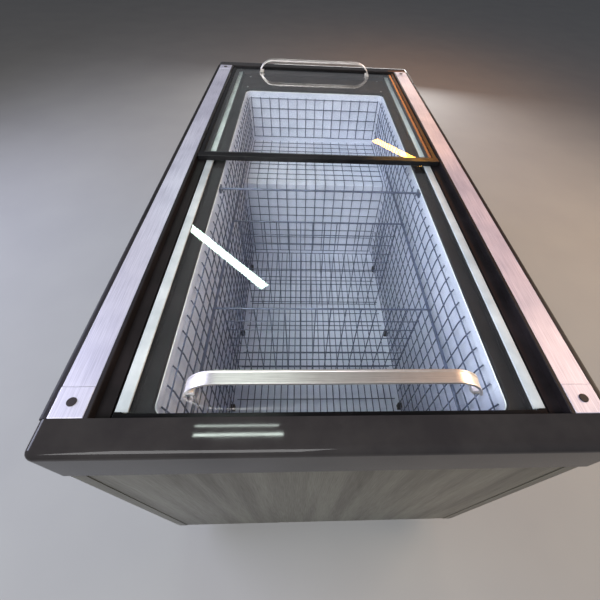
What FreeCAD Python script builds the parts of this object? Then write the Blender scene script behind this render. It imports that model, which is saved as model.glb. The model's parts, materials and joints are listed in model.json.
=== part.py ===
import FreeCAD, Part
import math
import os

# A glass-top chest freezer with two sliding lids. Millimetres, X across, Y along the length with the
# machine end at +Y, Z up from the floor. The origin is on the floor under the middle.

# ---------------------------------------------------------------- driving dimensions

WIDTH = 900.0
LENGTH = 1800.0
RIM_TOP = 850.0

HALF_W = WIDTH / 2
HALF_L = LENGTH / 2

MOULDING_DEEP = 57.0       # end moulding, along Y
MOULDING_TALL = 96.0
MOULDING_WALL = 3.0
MOULDING_EDGE = 13.0       # rounding of its outer top edge
MOULDING_CORNER = 14.0
SKIRT_FOOT = RIM_TOP - MOULDING_TALL
MOULDING_IN = HALF_L - MOULDING_DEEP

SHELL_GAP = 6.0            # how far the sheet panels stand inside the mouldings
SHEET = 1.0
GRILLE_SHEET = 2.0
SHELL_X = HALF_W - SHELL_GAP
SHELL_Y = HALF_L - SHELL_GAP - 1.0

FOOT_TALL = 72.0
BASE_TALL = 36.0
BASE_TOP = FOOT_TALL + BASE_TALL + 2.0
SHELL_FOOT = FOOT_TALL + 3.0
SHELL_TOP = SKIRT_FOOT + 5.0

LINER_X = 299.0            # inner faces of the liner
LINER_NEAR = -830.0
LINER_FAR = 626.0
STEP_Y = 237.0
FLOOR_Z = 240.0
SHELF_Z = 605.0
LINER_WALL = 2.0
LINER_CORNER = 25.0
FOAM_TOP = 812.0
FOAM_WALL = 60.0

RIM_X = 325.0              # breaker rim
RIM_Z = 820.0
LOWER_TRACK = 822.0
UPPER_TRACK = 834.0
TRACK_STEP_X = 354.0
TRACK_OUT_X = 377.0
TRIM_IN_X = 384.0
TRIM_OUT_X = 437.0
TRIM_FACE = 847.5
TRIM_THICK = 2.0
LEDGE_Y = 808.0            # where the raised ledge of the machine cover starts

LID_GAP = 0.3              # running gap under the slide pads
LOWER_LID_X = 352.0
UPPER_LID_X = 375.0
LID_SIDE = 12.0            # width of the lid's side profiles
GLASS_IN = 4.0             # how far the glass goes into the profiles
LID_END = 841.0

HANDLE_Y = 790.0
HANDLE_HALF = 252.0
HANDLE_FLAT = 190.0        # half length of the straight middle
HANDLE_RISE = 48.0
HANDLE_WIDE = 25.0
HANDLE_THICK = 4.5
HANDLE_FOOT = 18.0
HANDLE_SCREW_X = HANDLE_HALF - HANDLE_FOOT / 2

WIRE = 1.6                 # radius of the grid wires
PITCH = 40.0
FLOOR_LONG_PITCH = 23.0    # between the floor grid's lengthwise wires
FLOOR_CROSS_PITCH = 64.0
FLOOR_GRID_HALF = 264.5    # middle to its outermost lengthwise wire
GRID_GAP = 10.0            # wall to grid
GRID_TOP = 795.0
HANG_RAIL_Z = 675.0
HANG_RAIL_R = 4.0
NEAR_DIVIDER_Y = -492.0
FAR_DIVIDER_Y = -124.0
TIE_ROD_Y = -137.0

ROOM_Y = STEP_Y + LINER_WALL + FOAM_WALL
ROOM_TOP = SHELF_Z - LINER_WALL - FOAM_WALL     # machine room under and behind the step
BACK_ROOM_Y = LINER_FAR + LINER_WALL + FOAM_WALL
GRILLE_TOP = 556.0

COMPRESSOR_X = -150.0
COMPRESSOR_Y = 430.0
FAN_X = 130.0
FAN_Y = 795.0
FAN_Z = 280.0
CONDENSER_Y = 832.0
CONDENSER_DEEP = 46.0
CONDENSER_TUBE_R = 4.0

TRAY_X = (-290.0, -60.0)
TRAY_Y = (560.0, 893.0)
TRAY_Z = (114.0, 150.0)

FASCIA_X = 160.0           # half width of the control recess
FASCIA_Z = (612.0, 712.0)
FASCIA_FLOOR_Y = 872.0
KNOB_X = -95.0
ROCKER_X = -10.0
LAMP_X = (26.0, 38.0)
WINDOW_X = 85.0
SHAFT_R = 3.5
CONTROL_Z = (FASCIA_Z[0] + FASCIA_Z[1]) / 2

DRAIN_X = 180.0
DRAIN_Y = -700.0
DRAIN_R = 11.0
DRAIN_BORE = 8.0
DRAIN_FOOT = BASE_TOP - 22.0

COIL_R = 4.0               # evaporator tube
COIL_GAP = LINER_WALL + COIL_R + 1.8
COIL_TAIL_X = -LINER_X - COIL_GAP + 60
COIL_INLET_Z = 175.0
COIL_OUTLET_Z = 700.0

UP = FreeCAD.Vector(0, 0, 1)


# ---------------------------------------------------------------- small helpers

def at(x, y, z):
    return FreeCAD.Vector(x, y, z)


def box(x, y, z):
    """A block between the low and high values given for each axis."""
    size = [span[1] - span[0] for span in (x, y, z)]
    return Part.makeBox(*size, at(x[0], y[0], z[0]))


def both_sides(span):
    """The two spans, left then right, that a positive X span stands for."""
    return [(-span[1], -span[0]), span]


def rod(radius, start, end):
    run = end - start
    return Part.makeCylinder(radius, run.Length, start, run)


def along_y(outline, near, far):
    """An outline of (x, z) corners pushed from near to far along Y."""
    face = Part.Face(Part.makePolygon([at(x, near, z) for x, z in outline + outline[:1]]))
    return face.extrude(at(0, far - near, 0))


def along_x(outline, left, right):
    """An outline of (y, z) corners pushed from left to right along X."""
    face = Part.Face(Part.makePolygon([at(left, y, z) for y, z in outline + outline[:1]]))
    return face.extrude(at(right - left, 0, 0))


def mirrored(shape):
    return shape.mirror(at(0, 0, 0), at(1, 0, 0))


def rounded(shape, radius, wanted):
    """The shape with every edge that wanted() accepts rounded."""
    return shape.makeFillet(radius, [edge for edge in shape.Edges if wanted(edge)])


def is_along(edge, axis):
    """True for a straight edge that lies along axis (0, 1 or 2)."""
    run = edge.Vertexes[-1].Point - edge.Vertexes[0].Point
    return run.Length > 0.1 and abs(abs(run[axis]) - edge.Length) < 1e-4


def middle(edge):
    return edge.CenterOfMass


def tube_path(points, bend):
    """A wire of straight runs through the points, joined by arcs of the bend radius."""
    edges = []
    start = points[0]
    for before, corner, after in zip(points, points[1:], points[2:]):
        back = (before - corner).normalize()
        ahead = (after - corner).normalize()
        half = back.getAngle(ahead) / 2
        cut = bend / math.tan(half)
        first = corner + back * cut
        last = corner + ahead * cut
        inward = (back + ahead).normalize()
        top = corner + inward * (bend / math.sin(half) - bend)
        if (first - start).Length > 1e-6:
            edges.append(Part.LineSegment(start, first).toShape())
        edges.append(Part.Arc(first, top, last).toShape())
        start = last
    edges.append(Part.LineSegment(start, points[-1]).toShape())
    return Part.Wire(edges)


def tube(points, radius, bend):
    """A round bar along the points, with every corner turned at the bend radius."""
    section = Part.Wire(Part.makeCircle(radius, points[0], points[1] - points[0]))
    return tube_path(points, bend).makePipeShell([section], True, False)


def steps(first, last, pitch):
    """Evenly pitched places from first to no further than last."""
    count = int((last - first) / pitch + 1e-6) + 1
    return [first + i * pitch for i in range(count)]


def save(name, *solids):
    shape = solids[0] if len(solids) == 1 else Part.makeCompound(list(solids))
    shape.exportStep("parts/" + name + ".step")
    volume = sum(solid.Volume for solid in solids) / 1000.0
    print(f"{name:28s} {len(solids):3d} solids {volume:10.1f} cm3")


# ---------------------------------------------------------------- base and feet

def feet():
    """Four levelling feet: rubber pads under threaded stems with a hexagonal collar to turn."""
    pads = []
    stems = []
    for x in (-418.0, 418.0):
        for y in (-810.0, 810.0):
            pad = Part.makeCylinder(27, 14, at(x, y, 0))
            pad = rounded(pad, 3, lambda edge: edge.Closed)
            stem = rod(6, at(x, y, 14), at(x, y, 95))
            corners = [at(x + 11 * math.cos(a), y + 11 * math.sin(a), 20)
                       for a in [math.radians(60 * i) for i in range(7)]]
            collar = Part.Face(Part.makePolygon(corners)).extrude(UP * 10)
            flange = Part.makeCylinder(20, 6, at(x, y, 14))
            pads.append(pad)
            stems.append(stem.fuse([collar, flange]).removeSplitter())
    save("foot_pads", *pads)
    save("foot_stems", *stems)


def base():
    """Welded box rails under a folded base plate."""
    top = FOOT_TALL + BASE_TALL
    rails = []
    for span in both_sides((398.0, 438.0)):
        outer = box(span, (-885, 885), (FOOT_TALL, top))
        inner = box((span[0] + 2, span[1] - 2), (-885, 885), (FOOT_TALL + 2, top - 2))
        rail = outer.cut(inner)
        for y in (-810.0, 810.0):
            middle_x = (span[0] + span[1]) / 2
            rail = rail.cut(rod(6.0, at(middle_x, y, FOOT_TALL - 1), at(middle_x, y, FOOT_TALL + 3)))
        rails.append(rail)
    for y in (-780.0, 0.0, 780.0):
        outer = box((-398, 398), (y - 20, y + 20), (FOOT_TALL, top))
        inner = box((-398, 398), (y - 18, y + 18), (FOOT_TALL + 2, top - 2))
        rails.append(outer.cut(inner))
    save("base_rails", *rails)

    reach_x = SHELL_X - SHEET
    reach_y = SHELL_Y - GRILLE_SHEET
    plate = box((-reach_x, reach_x), (-reach_y, reach_y), (SHELL_FOOT, BASE_TOP))
    hollow = box((-reach_x + 1.5, reach_x - 1.5), (-reach_y + 1.5, reach_y - 1.5), (SHELL_FOOT, top))
    hole = rod(DRAIN_R + 0.5, at(DRAIN_X, DRAIN_Y, top - 1), at(DRAIN_X, DRAIN_Y, BASE_TOP + 1))
    save("base_plate", plate.cut(hollow).cut(hole))


# ---------------------------------------------------------------- outer sheet metal

def side_panels():
    """Flat painted sheets with their edges folded inwards."""
    fold = 14.0
    for name, side in (("left_side_panel", -1), ("right_side_panel", 1)):
        ends = SHELL_Y - GRILLE_SHEET - 0.2
        outer = box((SHELL_X - fold, SHELL_X), (-ends, ends), (BASE_TOP + 0.5, SHELL_TOP))
        inner = box((SHELL_X - fold, SHELL_X - SHEET), (-ends + SHEET, ends - SHEET), (BASE_TOP, SHELL_TOP))
        sheet = outer.cut(inner)
        skirt = box((SHELL_X - SHEET, SHELL_X), (-ends, ends), (SHELL_FOOT, BASE_TOP + 1))
        panel = sheet.fuse(skirt).removeSplitter()
        save(name, panel if side > 0 else mirrored(panel))


def near_end_panel():
    """A plain brushed sheet."""
    reach = SHELL_X - SHEET
    sheet = box((-reach, reach), (-SHELL_Y, -SHELL_Y + SHEET), (SHELL_FOOT, SHELL_TOP))
    save("near_end_panel", sheet)


def far_end_panels():
    """The painted upper panel with the control and inlet openings, and the louvred grille below it."""
    reach = SHELL_X - SHEET
    sheet = box((-reach, reach), (SHELL_Y - SHEET, SHELL_Y), (GRILLE_TOP + 1, SHELL_TOP))
    recess = box((-FASCIA_X, FASCIA_X), (SHELL_Y - 2, SHELL_Y + 1), FASCIA_Z)
    inlet = box((236, 284), (SHELL_Y - 2, SHELL_Y + 1), (606, 634))
    save("far_end_panel", sheet.cut(Part.makeCompound([recess, inlet])))

    back = SHELL_Y - GRILLE_SHEET
    grille = box((-reach, reach), (back, SHELL_Y), (SHELL_FOOT, GRILLE_TOP))
    through = (SHELL_Y - 3, SHELL_Y + 1)
    slots = [box((TRAY_X[0] - 1, TRAY_X[1] + 1), through, (TRAY_Z[0] - 1, TRAY_Z[1] + 1))]
    hoods = []
    for low in steps(190, GRILLE_TOP - 40, 22):
        for left in (-375.0, -120.0, 135.0):
            slots.append(box((left, left + 240), through, (low, low + 9)))
            hood = [(back, low + 9), (back - 7, low + 1), (back - 7, low - 0.5), (back + 1, low + 9)]
            hoods.append(along_x(hood, left, left + 240))
    louvres = grille.cut(Part.makeCompound(slots))
    save("machine_grille", louvres.fuse(hoods).removeSplitter())


def corner_posts():
    """Folded strips that wrap the four upright corners."""
    leg = 26.0
    posts = []
    for x_side in (-1, 1):
        for y_side in (-1, 1):
            across, along = ((edge - leg, edge + 1.2) for edge in (SHELL_X, SHELL_Y))
            outer = box(across, along, (SHELL_FOOT, SKIRT_FOOT - 1))
            outer = rounded(outer, 3, lambda e: is_along(e, 2) and min(middle(e).x, middle(e).y) > SHELL_X)
            post = outer.cut(box((0, SHELL_X), (0, SHELL_Y), (0, RIM_TOP)))
            post = post if x_side > 0 else mirrored(post)
            posts.append(post if y_side > 0 else post.mirror(at(0, 0, 0), at(0, 1, 0)))
    save("corner_posts", *posts)


# ---------------------------------------------------------------- insulation and liner

def foam():
    """The foam that fills the walls, as blocks that meet face to face round the liner."""
    skin = SHELL_X - SHEET
    out = LINER_X + LINER_WALL
    near = LINER_NEAR - LINER_WALL
    under = FLOOR_Z - LINER_WALL
    step = STEP_Y + LINER_WALL
    far = LINER_FAR + LINER_WALL
    inside_fold = SHELL_Y - GRILLE_SHEET - SHEET - 0.5
    wall_y = (-inside_fold, BACK_ROOM_Y)
    blocks = [box(span, wall_y, (BASE_TOP, FOAM_TOP)) for span in both_sides((out, skin))]
    blocks.append(box((-out, out), (-SHELL_Y + SHEET, near), (BASE_TOP, FOAM_TOP)))
    drain_hole = rod(DRAIN_R, at(DRAIN_X, DRAIN_Y, BASE_TOP - 1), at(DRAIN_X, DRAIN_Y, under + 1))
    blocks.append(box((-out, out), (near, step), (BASE_TOP, under)).cut(drain_hole))
    blocks.append(box((-out, out), (step, ROOM_Y), (BASE_TOP, ROOM_TOP)))
    blocks.append(box((-out, out), (step, BACK_ROOM_Y), (ROOM_TOP, SHELF_Z - LINER_WALL)))
    blocks.append(box((-out, out), (far, BACK_ROOM_Y), (SHELF_Z - LINER_WALL, FOAM_TOP)))
    save("foam_insulation", *blocks)


def tub(grow):
    """The stepped space inside the liner, grown on every side except the open top."""
    across = (-LINER_X - grow, LINER_X + grow)
    pit = box(across, (LINER_NEAR - grow, STEP_Y + grow), (FLOOR_Z - grow, FOAM_TOP))
    shelf = box(across, (STEP_Y + grow - 1, LINER_FAR + grow), (SHELF_Z - grow, FOAM_TOP))
    space = pit.fuse(shelf).removeSplitter()

    def outer_corner(edge):
        spot = middle(edge)
        at_end = spot.y < LINER_NEAR + 1 or spot.y > LINER_FAR - 1
        return is_along(edge, 2) and at_end

    return rounded(space, LINER_CORNER + grow, outer_corner)


def liner():
    """The white stepped tub, with a drain hole in its floor."""
    shell = tub(LINER_WALL).cut(tub(0))
    hole = rod(DRAIN_BORE, at(DRAIN_X, DRAIN_Y, FLOOR_Z - 5), at(DRAIN_X, DRAIN_Y, FLOOR_Z + 5))
    save("liner", shell.cut(hole))


def evaporator():
    """One tube wound round the liner from the bottom up, with both ends in the machine room."""
    side = LINER_X + COIL_GAP
    near = LINER_NEAR - COIL_GAP
    inner_far = STEP_Y + COIL_GAP
    outer_far = LINER_FAR + COIL_GAP
    points = [at(COIL_TAIL_X, ROOM_Y + 25, COIL_INLET_Z), at(COIL_TAIL_X, inner_far + 22, COIL_INLET_Z)]
    points += [at(COIL_TAIL_X, inner_far + 22, 270), at(-side, inner_far, 285)]
    for low in steps(300, 510, 52):
        points += [at(-side, near, low), at(side, near, low + 26)]
        points += [at(side, inner_far, low + 26), at(-side, inner_far, low + 52)]
    for low in (645.0, 697.0):
        points += [at(-side, near, low), at(side, near, low + 26)]
        points += [at(side, outer_far, low + 26), at(-side, outer_far, low + 52)]
    points += [at(COIL_TAIL_X, outer_far + 15, 760), at(COIL_TAIL_X, outer_far + 15, COIL_OUTLET_Z)]
    points += [at(COIL_TAIL_X, BACK_ROOM_Y + 25, COIL_OUTLET_Z)]
    save("evaporator_coil", tube(points, COIL_R, 7))


# ---------------------------------------------------------------- rim, rails, trims and mouldings

def breaker_rim():
    """The dark ring round the mouth of the liner."""
    ring = box((-RIM_X, RIM_X), (-MOULDING_IN, LINER_FAR + 12), (FOAM_TOP, RIM_Z))
    mouth = box((-LINER_X, LINER_X), (LINER_NEAR, LINER_FAR), (FOAM_TOP - 1, RIM_Z + 1))
    mouth = rounded(mouth, LINER_CORNER, lambda edge: is_along(edge, 2))
    ring = ring.cut(mouth)

    def inner_top(edge):
        spot = middle(edge)
        inside = abs(spot.x) < RIM_X - 1 and LINER_NEAR - 1 < spot.y < LINER_FAR + 1
        return inside and abs(spot.z - RIM_Z) < 0.01 and edge.BoundBox.ZLength < 0.01

    save("breaker_rim", rounded(ring, 3, inner_top))


def side_rails():
    """Hollow extruded rails: two stepped tracks, a seat for the trim, and a skirt outside."""
    wall = MOULDING_WALL
    seat = TRIM_FACE - wall
    web = TRACK_OUT_X + 3
    outline = [
        (RIM_X, FOAM_TOP), (RIM_X, LOWER_TRACK), (TRACK_STEP_X, LOWER_TRACK), (TRACK_STEP_X, UPPER_TRACK),
        (TRACK_OUT_X, UPPER_TRACK), (TRACK_OUT_X, RIM_TOP), (TRIM_IN_X, RIM_TOP), (TRIM_IN_X, TRIM_FACE),
        (TRIM_OUT_X, TRIM_FACE), (TRIM_OUT_X, RIM_TOP), (HALF_W, RIM_TOP), (HALF_W, SKIRT_FOOT),
        (HALF_W - wall, SKIRT_FOOT), (HALF_W - wall, seat), (web + wall, seat), (web + wall, FOAM_TOP),
        (web, FOAM_TOP), (web, UPPER_TRACK - wall), (TRACK_STEP_X + wall, UPPER_TRACK - wall),
        (TRACK_STEP_X + wall, LOWER_TRACK - wall), (RIM_X + wall, LOWER_TRACK - wall),
        (RIM_X + wall, FOAM_TOP),
    ]
    rail = along_y(outline, -MOULDING_IN, MOULDING_IN)

    def top_edge(x):
        return lambda e: is_along(e, 1) and middle(e).z > RIM_TOP - 0.1 and abs(middle(e).x - x) < 0.1

    rail = rounded(rail, 8, top_edge(HALF_W))
    rail = rounded(rail, 1.5, top_edge(TRACK_OUT_X))
    save("right_side_rail", rail)
    save("left_side_rail", mirrored(rail))


def side_trims():
    """Satin metal strips let into the tops of the rails, between the corner covers."""
    ends = MOULDING_IN - 52
    trims = []
    for span in both_sides((TRIM_IN_X + 0.3, TRIM_OUT_X - 0.3)):
        strip = box(span, (-ends, ends), (TRIM_FACE, TRIM_FACE + TRIM_THICK))
        trims.append(rounded(strip, 0.8, lambda e: is_along(e, 1) and middle(e).z > TRIM_FACE + 1))
    save("side_trims", *trims)


def corner_covers():
    """Square covers at the ends of the trims, each with a round cap over its screw."""
    covers = []
    caps = []
    for span in both_sides((TRIM_IN_X + 0.3, TRIM_OUT_X - 0.3)):
        for low in (-MOULDING_IN + 0.3, MOULDING_IN - 51.7):
            cover = box(span, (low, low + 51.4), (TRIM_FACE, TRIM_FACE + TRIM_THICK + 0.6))
            cover = rounded(cover, 1.2, lambda e: middle(e).z > TRIM_FACE + 2.5)
            x = sum(span) / 2
            y = low + 25.7
            pocket = rod(7.5, at(x, y, TRIM_FACE + 0.8), at(x, y, TRIM_FACE + 5))
            cap = rod(7.5, at(x, y, TRIM_FACE + 0.8), at(x, y, TRIM_FACE + 4.2))
            covers.append(cover.cut(pocket))
            caps.append(rounded(cap, 1, lambda e: e.Closed and middle(e).z > TRIM_FACE + 4))
    save("corner_covers", *covers)
    save("corner_screw_caps", *caps)


def end_mouldings():
    """Rounded hollow mouldings across both ends."""
    wall = MOULDING_WALL

    def solid_end(inset):
        """The outside of the moulding, or its inside when drawn in by the wall."""
        x = HALF_W - inset
        top = RIM_TOP - inset
        block = box((-x, x), (-HALF_L + inset, -MOULDING_IN), (SKIRT_FOOT, top))

        def outer_corner(edge):
            return is_along(edge, 2) and middle(edge).y < -MOULDING_IN - 5

        def top_outer(edge):
            spot = middle(edge)
            return edge.BoundBox.ZLength < 0.01 and spot.z > top - 0.1 and spot.y < -MOULDING_IN - 1

        block = rounded(block, MOULDING_CORNER - inset, outer_corner)
        return rounded(block, MOULDING_EDGE - inset, top_outer)

    inner_face = -MOULDING_IN - wall
    space = solid_end(wall).common(box((-HALF_W, HALF_W), (-HALF_L, inner_face), (0, RIM_TOP)))
    reach = HALF_W - wall
    open_back = box((-reach, reach), (inner_face - 1, -MOULDING_IN + 1), (0, FOAM_TOP))
    body = solid_end(0).cut(space).cut(open_back)
    save("near_end_moulding", body)
    save("far_end_moulding", body.mirror(at(0, 0, 0), at(0, 1, 0)))


def machine_cover():
    """The dark deck over the machine end, with a raised ledge that meets the upper lid."""
    deck = box((-RIM_X, RIM_X), (LINER_FAR + 12, MOULDING_IN), (FOAM_TOP, FOAM_TOP + 6))
    ledge = box((-RIM_X, RIM_X), (LEDGE_Y, MOULDING_IN), (FOAM_TOP + 5, UPPER_TRACK - 1))

    def front_edge(edge):
        spot = middle(edge)
        return is_along(edge, 0) and spot.y < LEDGE_Y + 1 and spot.z > UPPER_TRACK - 2

    ledge = rounded(ledge, 4, front_edge)
    hollow = box((-RIM_X + 3, RIM_X - 3), (LEDGE_Y + 4, MOULDING_IN - 4), (FOAM_TOP - 1, UPPER_TRACK - 4))
    save("machine_cover", deck.fuse(ledge).removeSplitter().cut(hollow))


# ---------------------------------------------------------------- refrigeration

def compressor():
    """A domed shell on a mounting plate, its rubber grommets and its terminal cover."""
    x, y = COMPRESSOR_X, COMPRESSOR_Y
    foot = BASE_TOP + 12
    dome = Part.makeCylinder(82, 185, at(x, y, foot + 3))
    dome = rounded(dome, 36, lambda e: e.Closed and middle(e).z > foot + 100)
    dome = rounded(dome, 20, lambda e: e.Closed and middle(e).z < foot + 10 and e.Length > 400)
    seam = Part.makeCylinder(85, 5, at(x, y, foot + 105))
    plate = box((x - 105, x + 105), (y - 70, y + 70), (foot, foot + 4))
    plate = rounded(plate, 15, lambda e: is_along(e, 2))
    places = [(x + dx, y + dy) for dx in (-88, 88) for dy in (-54, 54)]
    holes = Part.makeCompound([rod(9, at(px, py, foot - 1), at(px, py, foot + 5)) for px, py in places])
    stubs = [rod(6, at(x - 40, y + 60, foot + 150), at(x - 40, y + 95, foot + 150)),
             rod(5, at(x + 30, y + 60, foot + 60), at(x + 30, y + 100, foot + 60))]
    save("compressor", dome.fuse([seam, plate.cut(holes)] + stubs).removeSplitter())

    grommets = []
    for px, py in places:
        ring = Part.makeCylinder(15, 12, at(px, py, BASE_TOP)).fuse(Part.makeCylinder(9, 4, at(px, py, foot)))
        ring = ring.fuse(Part.makeCylinder(15, 5, at(px, py, foot + 4)))
        bore = rod(4, at(px, py, BASE_TOP - 1), at(px, py, foot + 12))
        grommets.append(ring.cut(bore).removeSplitter())
    save("compressor_grommets", *grommets)

    cover = box((x + 70, x + 122), (y - 32, y + 32), (foot + 40, foot + 100))
    cover = rounded(cover, 5, lambda e: middle(e).x > x + 100)
    save("compressor_terminal_cover", cover.cut(Part.makeCylinder(82, 185, at(x, y, foot + 3))))


def condenser_rows():
    """The (y, z) places of the condenser's straight tube runs, in the order that the refrigerant takes."""
    columns = [CONDENSER_Y + CONDENSER_DEEP * share for share in (0.28, 0.72)]
    levels = steps(FAN_Z - 125, FAN_Z + 125, 50)
    return [(columns[0], z) for z in reversed(levels)] + [(columns[1], z) for z in levels]


def condenser():
    """Plate fins on one tube that doubles back through them."""
    half = 130.0
    rows = condenser_rows()
    deep = (CONDENSER_Y, CONDENSER_Y + CONDENSER_DEEP)
    fin = box((FAN_X - half, FAN_X - half + 1), deep, (FAN_Z - 145, FAN_Z + 145))
    holes = [rod(CONDENSER_TUBE_R, at(FAN_X - half - 1, y, z), at(FAN_X - half + 2, y, z)) for y, z in rows]
    fin = fin.cut(Part.makeCompound(holes))
    fins = [fin.translated(at(shift, 0, 0)) for shift in steps(0, 2 * half - 1, 7)]
    save("condenser_fins", *fins)

    points = []
    reach = half + 24
    for turn, (y, z) in enumerate(rows):
        ends = (-reach, reach) if turn % 2 == 0 else (reach, -reach)
        points += [at(FAN_X + end, y, z) for end in ends]
    save("condenser_tube", tube(points, CONDENSER_TUBE_R, 9.9))


def fan():
    """The shroud, the motor on its three-armed bracket, and the five-bladed fan."""
    shroud = box((FAN_X - 135, FAN_X + 135), (FAN_Y + 12, FAN_Y + 14), (FAN_Z - 148, FAN_Z + 148))
    collar = rod(112, at(FAN_X, FAN_Y - 14, FAN_Z), at(FAN_X, FAN_Y + 14, FAN_Z))
    flange = box((FAN_X - 135, FAN_X + 135), (FAN_Y + 12, FAN_Y + 36), (FAN_Z - 148, FAN_Z - 146))
    other = flange.translated(at(0, 0, 294))
    bore = rod(109, at(FAN_X, FAN_Y - 20, FAN_Z), at(FAN_X, FAN_Y + 20, FAN_Z))
    save("fan_shroud", shroud.fuse([collar, flange, other]).cut(bore).removeSplitter())

    motor = rod(34, at(FAN_X, FAN_Y - 75, FAN_Z), at(FAN_X, FAN_Y - 25, FAN_Z))
    motor = rounded(motor, 6, lambda e: e.Closed and middle(e).y < FAN_Y - 70)
    shaft = rod(4, at(FAN_X, FAN_Y - 25, FAN_Z), at(FAN_X, FAN_Y + 8, FAN_Z))
    arms = []
    for turn in range(3):
        arm = box((FAN_X - 6, FAN_X + 6), (FAN_Y - 28, FAN_Y - 25), (FAN_Z + 20, FAN_Z + 117))
        toe = box((FAN_X - 6, FAN_X + 6), (FAN_Y - 28, FAN_Y + 12), (FAN_Z + 114, FAN_Z + 117))
        arms += [part.rotated(at(FAN_X, 0, FAN_Z), at(0, 1, 0), 120 * turn) for part in (arm, toe)]
    save("fan_motor", motor.fuse([shaft] + arms).removeSplitter())

    hub = rod(24, at(FAN_X, FAN_Y - 12, FAN_Z), at(FAN_X, FAN_Y + 10, FAN_Z))
    hub = rounded(hub, 4, lambda e: e.Closed and middle(e).y > FAN_Y + 5)
    blades = []
    for turn in range(5):
        blade = box((-34, 34), (-1, 1), (20, 100))
        blade = rounded(blade, 18, lambda e: is_along(e, 1) and middle(e).z > 90)
        blade = blade.rotated(at(0, 0, 0), UP, 22).rotated(at(0, 0, 0), at(0, 1, 0), 72 * turn)
        blades.append(blade.translated(at(FAN_X, FAN_Y, FAN_Z)))
    bore = rod(4.05, at(FAN_X, FAN_Y - 20, FAN_Z), at(FAN_X, FAN_Y + 8.2, FAN_Z))
    save("fan_blade", hub.fuse(blades).cut(bore).removeSplitter())


def refrigerant_parts():
    """The drier, and the copper lines between compressor, condenser, drier and evaporator."""
    drier_x, drier_y = -20.0, 640.0
    low, high = 240.0, 360.0
    can = rod(13, at(drier_x, drier_y, low), at(drier_x, drier_y, high))
    can = rounded(can, 6, lambda e: e.Closed)
    save("filter_drier", can)

    foot = BASE_TOP + 12
    x, y = COMPRESSOR_X, COMPRESSOR_Y
    rows = condenser_rows()
    reach = FAN_X - 154
    discharge = [at(x + 30, y + 100, foot + 60), at(x + 30, y + 150, foot + 60),
                 at(x + 30, y + 150, rows[0][1]),
                 at(reach - 30, y + 220, rows[0][1]), at(reach - 30, rows[0][0], rows[0][1]),
                 at(reach, rows[0][0], rows[0][1])]
    liquid = [at(reach, rows[-1][0], rows[-1][1]), at(reach - 50, rows[-1][0], rows[-1][1]),
              at(reach - 50, rows[-1][0] - 60, rows[-1][1] + 60), at(drier_x, drier_y + 60, high + 60),
              at(drier_x, drier_y, high + 40), at(drier_x, drier_y, high)]
    inlet_y = ROOM_Y + 25
    outlet_y = BACK_ROOM_Y + 25
    capillary = [at(drier_x, drier_y, low), at(drier_x, drier_y, 168), at(drier_x, 540, 168),
                 at(-262, 540, 170), at(-262, 420, COIL_INLET_Z),
                 at(COIL_TAIL_X, inlet_y + 40, COIL_INLET_Z), at(COIL_TAIL_X, inlet_y, COIL_INLET_Z)]
    lines = [tube(discharge, 4, 14), tube(liquid, 4, 14), tube(capillary, 2, 14)]
    suction = [at(COIL_TAIL_X, outlet_y, COIL_OUTLET_Z), at(COIL_TAIL_X, outlet_y + 35, COIL_OUTLET_Z),
               at(COIL_TAIL_X, outlet_y + 35, 400), at(x - 40, y + 160, foot + 190),
               at(x - 40, y + 130, foot + 150), at(x - 40, y + 95, foot + 150)]
    lines.append(tube(suction, 5, 14))
    save("refrigerant_lines", *lines)


def drip_tray():
    """A shallow tray that slides out through the grille."""
    tray = box(TRAY_X, (TRAY_Y[0], SHELL_Y - 2.5), TRAY_Z)
    hollow = box((TRAY_X[0] + 2, TRAY_X[1] - 2), (TRAY_Y[0] + 2, SHELL_Y - 5), (TRAY_Z[0] + 2, TRAY_Z[1] + 1))
    face = box(TRAY_X, (SHELL_Y - 2.5, SHELL_Y), (TRAY_Z[0], TRAY_Z[1]))
    middle_x = sum(TRAY_X) / 2
    pull = box((middle_x - 50, middle_x + 50), (SHELL_Y, SHELL_Y + 6), (TRAY_Z[1] - 8, TRAY_Z[1] - 4))
    pull = rounded(pull, 1.5, lambda e: middle(e).y > SHELL_Y + 5)
    save("drip_tray", tray.cut(hollow).fuse([face, pull]).removeSplitter())


# ---------------------------------------------------------------- controls and services

def on_fascia(x, back, front, half_x, half_z):
    """A block centred at x in the control recess; back and front are measured from its floor."""
    deep = (FASCIA_FLOOR_Y + back, FASCIA_FLOOR_Y + front)
    return box((x - half_x, x + half_x), deep, (CONTROL_Z - half_z, CONTROL_Z + half_z))


def pin_on_fascia(x, back, front, radius):
    """A round bar at x in the control recess that points out of it."""
    return rod(radius, at(x, FASCIA_FLOOR_Y + back, CONTROL_Z), at(x, FASCIA_FLOOR_Y + front, CONTROL_Z))


def rocker_pin(radius, half):
    """The bar across the rocker that it tilts on."""
    ends = [at(ROCKER_X + side * half, FASCIA_FLOOR_Y, CONTROL_Z) for side in (-1, 1)]
    return rod(radius, *ends)


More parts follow.
